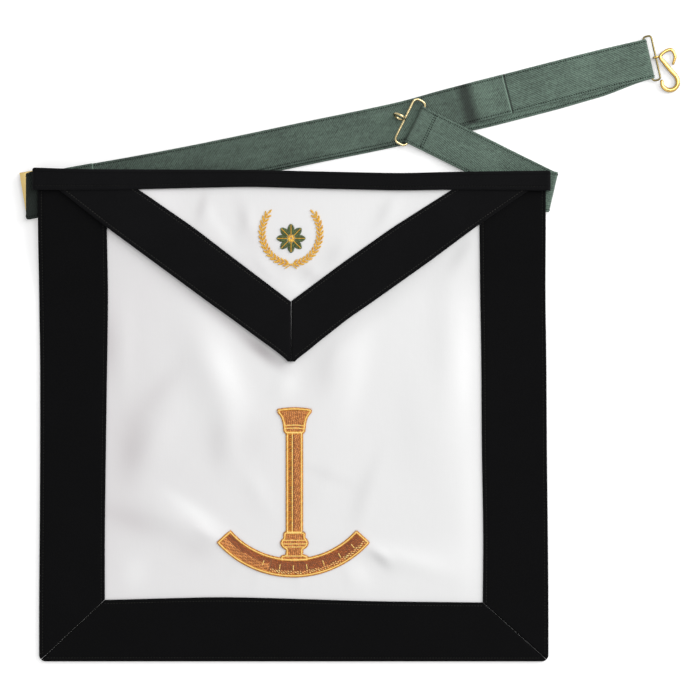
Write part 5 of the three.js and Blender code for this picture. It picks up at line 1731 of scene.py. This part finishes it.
class APRON_OT_column(bpy.types.Operator):
    """Embroider the column"""

    bl_idname = "apron.column"
    bl_label = "Column"

    def execute(self, context):
        thread = context.scene.apron_thread
        gold = thread_finish("Gold thread", thread.gold_shade, thread.gold_colour, 0.3)
        bronze = thread_finish("Bronze thread", thread.bronze_shade, thread.bronze_colour, 0.35)
        deep = thread_finish("Deep bronze thread", coloured(thread.bronze_shade, 0.5), thread.bronze_shade)
        ochre = thread_finish("Ochre thread", coloured(thread.ochre_colour, 0.4), thread.ochre_colour)
        pitch = thread.fill_pitch
        for name, node, shape, (low, high), rings in COLUMN_PARTS:
            left, right = column_edges(shape)
            y = np.linspace(column_y(low), column_y(high), 60)
            left_line = np.column_stack([left(y), y])
            right_line = np.column_stack([right(y), y])
            pad = thread_pad(f"{name}_pad", left_line, right_line)
            wear(pad, deep)
            pieces = [pad]
            middle = (COLUMN_X, (y[0] + y[-1]) / 2)
            reach = (y[-1] - y[0]) / 2 + 14
            if name == "shaft_thread":
                areas = (
                    (-math.inf, SHAFT_SPLIT, 52, ochre),
                    (SHAFT_SPLIT, SHADOW_EDGE, -58, deep),
                    (SHADOW_EDGE, math.inf, -58, bronze),
                )
            else:
                areas = ((-math.inf, math.inf, -46, bronze),)
            for start, end, heading, finish in areas:
                def inside(px, py):
                    in_height = (py > y[0] + 0.3) & (py < y[-1] - 0.3)
                    past_left = px > np.maximum(left(py) + 0.4, start)
                    return in_height & past_left & (px < np.minimum(right(py) - 0.4, end))

                ends = hatch(inside, middle, reach, heading, pitch, COLUMN_STITCH)
                pieces.append(fill(f"{name}_fill", ends, finish))
            crown = np.linspace(0, 1, 14)
            top = left_line[-1] + (right_line[-1] - left_line[-1]) * crown[:, None]
            top[:, 1] += (1.1 if name == "capital_thread" else 0) * np.sin(np.pi * crown)
            outline = np.vstack([left_line, top[1:-1], right_line[::-1]])
            lines = [(outline, OUTLINE_WIDTH, True)]
            pieces.append(corded_line(f"{name}_border", outline, BORDER_WIDTH, ochre, lift=BORDER_LIFT,
                                      endless=True))
            for ring in rings:
                ring_y = column_y(ring)
                bow = -0.5 if name == "capital_thread" else 0
                row = np.linspace(float(left(ring_y)), float(right(ring_y)), 14)
                bowed = np.column_stack([row, ring_y - bow * np.sin(np.pi * crown)])
                lines.append((bowed, LINE_WIDTH, False))
            if name == "shaft_thread":
                lines.append((np.column_stack([np.full(60, SHAFT_SPLIT), y]), LINE_WIDTH, False))
            for points, width, endless in lines:
                pieces.append(corded_line(f"{name}_gold", points, width, gold, lift=OUTLINE_LIFT,
                                          endless=endless))
            stand_in(join_pieces(name, pieces), node)
        red = thread_finish("Red bronze thread", coloured(thread.red_colour, 0.45), thread.red_colour)
        pale = thread_finish("Pale bronze thread", thread.bronze_colour, thread.gold_colour)
        self.arc(gold, bronze, red, pale, ochre, deep, pitch)
        return {"FINISHED"}

    def around(self, places):
        """Bends places given as (distance along the arc, distance out from its inner edge)."""
        places = np.asarray(places, dtype=float)
        angles = places[:, 0] / ARC_INNER
        radii = ARC_INNER + places[:, 1]
        return np.column_stack([EMBLEM_X + radii * np.sin(angles), ARC_CENTRE_Y - radii * np.cos(angles)])

    def arc(self, gold, bronze, red, pale, ochre, deep, pitch):
        """The curved band: a padded fill of four threads, its border and its graduations."""
        half = ARC_HALF_ANGLE * ARC_INNER
        along = np.linspace(-half, half, 120)
        inner = self.around(np.column_stack([along, np.full(120, 0.4)]))
        outer = self.around(np.column_stack([along, np.full(120, ARC_BAND - 0.4)]))
        pad = thread_pad("arc_pad", inner, outer)
        wear(pad, deep)
        pieces = [pad]
        rope = 0.66 * ARC_BAND
        turn = -0.3 * half
        areas = (
            (-half, turn, 0.5, 0.45 * ARC_BAND, 3, pitch, 4.2, red, 0.4),
            (-half, turn, 0.45 * ARC_BAND, ARC_BAND - 0.8, 3, pitch, 4.2, bronze, 0.4),
            (turn, half, 0.5, rope, 52, pitch, 2.4, red, 0.42),
            (turn, half, rope, ARC_BAND - 0.8, 38, pitch, 2.2, red, 0.42),
            (turn, half, rope + 0.2, ARC_BAND - 1.4, 38, pitch * 1.4, 2.4, pale, 0.5),
        )
        for start, end, low, high, heading, gap, length, finish, thickness in areas:
            def inside(along, out):
                return (along > start + 0.3) & (along < end - 0.1) & (out > low) & (out < high)

            middle = ((start + end) / 2, (low + high) / 2)
            starts, ends = hatch(inside, middle, (end - start) / 2 + 8, heading, gap, length)
            pieces.append(fill("arc_fill", (self.around(starts), self.around(ends)), finish, thickness))
        edge = np.vstack([
            np.column_stack([along, np.full(120, 0.3)]),
            np.column_stack([along[::-1], np.full(120, ARC_BAND - 0.3)]),
        ])
        pieces.append(corded_line("arc_border", self.around(edge), BORDER_WIDTH, ochre, lift=BORDER_LIFT,
                                  endless=True))
        lines = [(edge, OUTLINE_WIDTH, True)]
        for degrees in GRADUATIONS:
            place = math.radians(degrees) * ARC_INNER
            lines.append(([(place, 0.36 * ARC_BAND), (place, 0.62 * ARC_BAND)], 0.8, False))
        for points, width, endless in lines:
            pieces.append(corded_line("arc_gold", self.around(points), width, gold, lift=OUTLINE_LIFT,
                                      endless=endless))
        stand_in(join_pieces("arc_thread", pieces), "arc_scale")


def leaf_stitches(root, tip, half_width, count):
    """Start and end places of the slanted stitches that fill one leaf."""
    root = np.asarray(root, dtype=float)
    ahead = np.asarray(tip, dtype=float) - root
    length = np.linalg.norm(ahead)
    ahead = ahead / length
    aside = np.array([-ahead[1], ahead[0]])
    starts = []
    ends = []
    for share in np.linspace(0.04, 0.86, count):
        spread = half_width * math.sin(math.pi * min(1, share + 0.12)) ** 0.7
        vein = root + ahead * length * share
        reach = root + ahead * length * min(1, share + 0.16)
        for sign in (-1, 1):
            starts.append(vein)
            ends.append(reach + aside * spread * sign)
    return starts, ends


class APRON_OT_wreath(bpy.types.Operator):
    """Embroider the wreath and its rosette on the flap"""

    bl_idname = "apron.wreath"
    bl_label = "Wreath and rosette"

    def execute(self, context):
        thread = context.scene.apron_thread
        gold = thread_finish("Leaf thread", thread.shade_colour, thread.leaf_colour)
        green = thread_finish("Green thread", coloured(thread.green_colour, 0.4), thread.green_colour)
        stride = (WREATH_END - WREATH_START) / LEAF_PAIRS
        for side, sign in (("left", -1), ("right", 1)):
            starts = []
            ends = []
            for angle in WREATH_START + stride * np.arange(LEAF_PAIRS + 1):
                leaves = ((0.3, 2.8), (-0.3, -2.9)) if angle < WREATH_END - stride / 2 else ((0, 0),)
                for foot, reach in leaves:
                    root = self.on_oval(foot, angle, sign)
                    tip = self.on_oval(reach, angle + 1.15 * stride, sign)
                    leaf_starts, leaf_ends = leaf_stitches(root, tip, 0.85, 8)
                    starts += leaf_starts
                    ends += leaf_ends
            leaves = stitches(f"leaves_{side}", on_satin(starts, LEAF_LIFT, flap_top),
                              on_satin(ends, LEAF_LIFT, flap_top), 0.27, 0.3)
            wear(leaves, gold)
            line = [self.on_oval(outward, angle, sign) for outward, angle in TAIL]
            line += [self.on_oval(0, angle, sign) for angle in np.linspace(WREATH_START, WREATH_END, 60)]
            stem = corded_line(f"stem_{side}", line, 0.75, gold, surface=flap_top, lift=STEM_LIFT)
            piece = join_pieces(f"laurel_{side}", [leaves, stem])
            stand_in(piece, f"wreath_{side}")
        self.rosette(gold, green)
        return {"FINISHED"}

    def on_oval(self, outward, angle, sign):
        return np.array([
            FLAP_MIDDLE + sign * (WREATH_HALF_WIDTH + outward) * math.sin(angle),
            WREATH_Y - (WREATH_HALF_HEIGHT + outward) * math.cos(angle),
        ])

    def around(self, radius, angle):
        return np.array([FLAP_MIDDLE + radius * math.sin(angle), ROSETTE_Y - radius * math.cos(angle)])

    def rosette(self, gold, green):
        starts = []
        ends = []
        turns = [2 * math.pi * petal / PETALS for petal in range(PETALS)]
        for angle in turns:
            root = self.around(2.6, angle)
            leaf_starts, leaf_ends = leaf_stitches(root, self.around(11.6, angle), 2.9, 12)
            starts += leaf_starts
            ends += leaf_ends
        flower = stitches("petals", on_satin(starts, PETAL_LIFT, flap_top),
                          on_satin(ends, PETAL_LIFT, flap_top), 0.36, 0.35)
        wear(flower, green)
        ring = np.array([self.around(1.5, angle) for angle in np.linspace(0, 2 * np.pi, 24, endpoint=False)])
        middle = corded_line("rosette_middle", ring, 3.2, gold, surface=flap_top, lift=0.8, endless=True)
        veins = [corded_line("vein", [self.around(3.4, angle), self.around(10.6, angle)], 0.6, gold,
                             surface=flap_top, lift=0.85) for angle in turns]
        piece = join_pieces("flower", [flower, middle, *veins])
        stand_in(piece, "rosette")


# Lights: name, place and size in metres, share of the key light's power
LIGHTS = (
    ("key", (1.9, 1.1, 1.25), 1.4, 1.0),
    ("top", (0.75, 0.6, 2.4), 0.9, 0.45),
    ("low", (-0.9, -1.6, 1.6), 2.0, 0.2),
)
ROOM_LIGHT = 0.55
SENSOR = 36


class APRON_OT_stage(bpy.types.Operator):
    """Set up the floor, the lights and the camera"""

    bl_idname = "apron.stage"
    bl_label = "Stage"

    def execute(self, context):
        stage = context.scene.apron_stage
        bpy.ops.object.select_all(action="DESELECT")
        bpy.ops.mesh.primitive_plane_add(size=8, location=(0, 0, -0.0005))
        floor = context.object
        floor.name = "floor"
        wear(floor, Finish("Paper", {
            "Roughness": 0.95,
            "Specular IOR Level": 0.1,
            "Base Color": (0.93, 0.93, 0.93, 1),
            "Emission Color": (1, 1, 1, 1),
            "Emission Strength": 0.22,
        }))
        for name, place, size, share in LIGHTS:
            bpy.ops.object.light_add(type="AREA", location=place)
            light = context.object
            light.name = name
            light.data.size = size
            light.data.energy = stage.key_power * share
            light.rotation_euler = (-Vector(place)).to_track_quat("-Z", "Y").to_euler()
        world = bpy.data.worlds.new("Room")
        context.scene.world = world
        world.use_nodes = True
        background = world.node_tree.nodes["Background"].inputs
        background["Color"].default_value = (1, 1, 1, 1)
        background["Strength"].default_value = ROOM_LIGHT
        bpy.ops.object.camera_add(location=(0.0007, -0.0013, stage.camera_height), rotation=(0, 0, 0))
        camera = context.object
        camera.data.lens = stage.lens
        camera.data.sensor_width = SENSOR
        context.scene.camera = camera
        context.scene.view_settings.view_transform = "Standard"
        return {"FINISHED"}


class APRON_PT_panel(bpy.types.Panel):
    """Lists the steps that make the apron"""

    bl_label = "Lodge Apron"
    bl_idname = "APRON_PT_panel"
    bl_space_type = "VIEW_3D"
    bl_region_type = "UI"
    bl_category = "Apron"

    def draw(self, context):
        layout = self.layout
        for group in ("apron_cloth", "apron_belt", "apron_thread", "apron_stage"):
            box = layout.box()
            settings = getattr(context.scene, group)
            for prop in settings.bl_rna.properties:
                if prop.identifier not in ("rna_type", "name"):
                    box.prop(settings, prop.identifier)
        for step in STEPS:
            layout.operator(step.bl_idname)


SETTINGS = (
    ("apron_cloth", ApronCloth),
    ("apron_belt", ApronBelt),
    ("apron_thread", ApronThread),
    ("apron_stage", ApronStage),
)
STEPS = (
    APRON_OT_satin,
    APRON_OT_velvet,
    APRON_OT_flap,
    APRON_OT_waistband,
    APRON_OT_straps,
    APRON_OT_slide,
    APRON_OT_wires,
    APRON_OT_column,
    APRON_OT_wreath,
    APRON_OT_stage,
)


def register():
    for name, group in SETTINGS:
        bpy.utils.register_class(group)
        setattr(bpy.types.Scene, name, PointerProperty(type=group))
    for step in STEPS:
        bpy.utils.register_class(step)
    bpy.utils.register_class(APRON_PT_panel)


def unregister():
    bpy.utils.unregister_class(APRON_PT_panel)
    for step in reversed(STEPS):
        bpy.utils.unregister_class(step)
    for name, group in reversed(SETTINGS):
        delattr(bpy.types.Scene, name)
        bpy.utils.unregister_class(group)


def main():
    """Makes every piece in order."""
    register()
    for step in STEPS:
        getattr(bpy.ops.apron, step.bl_idname.split(".")[1])()


if __name__ == "__main__":
    main()
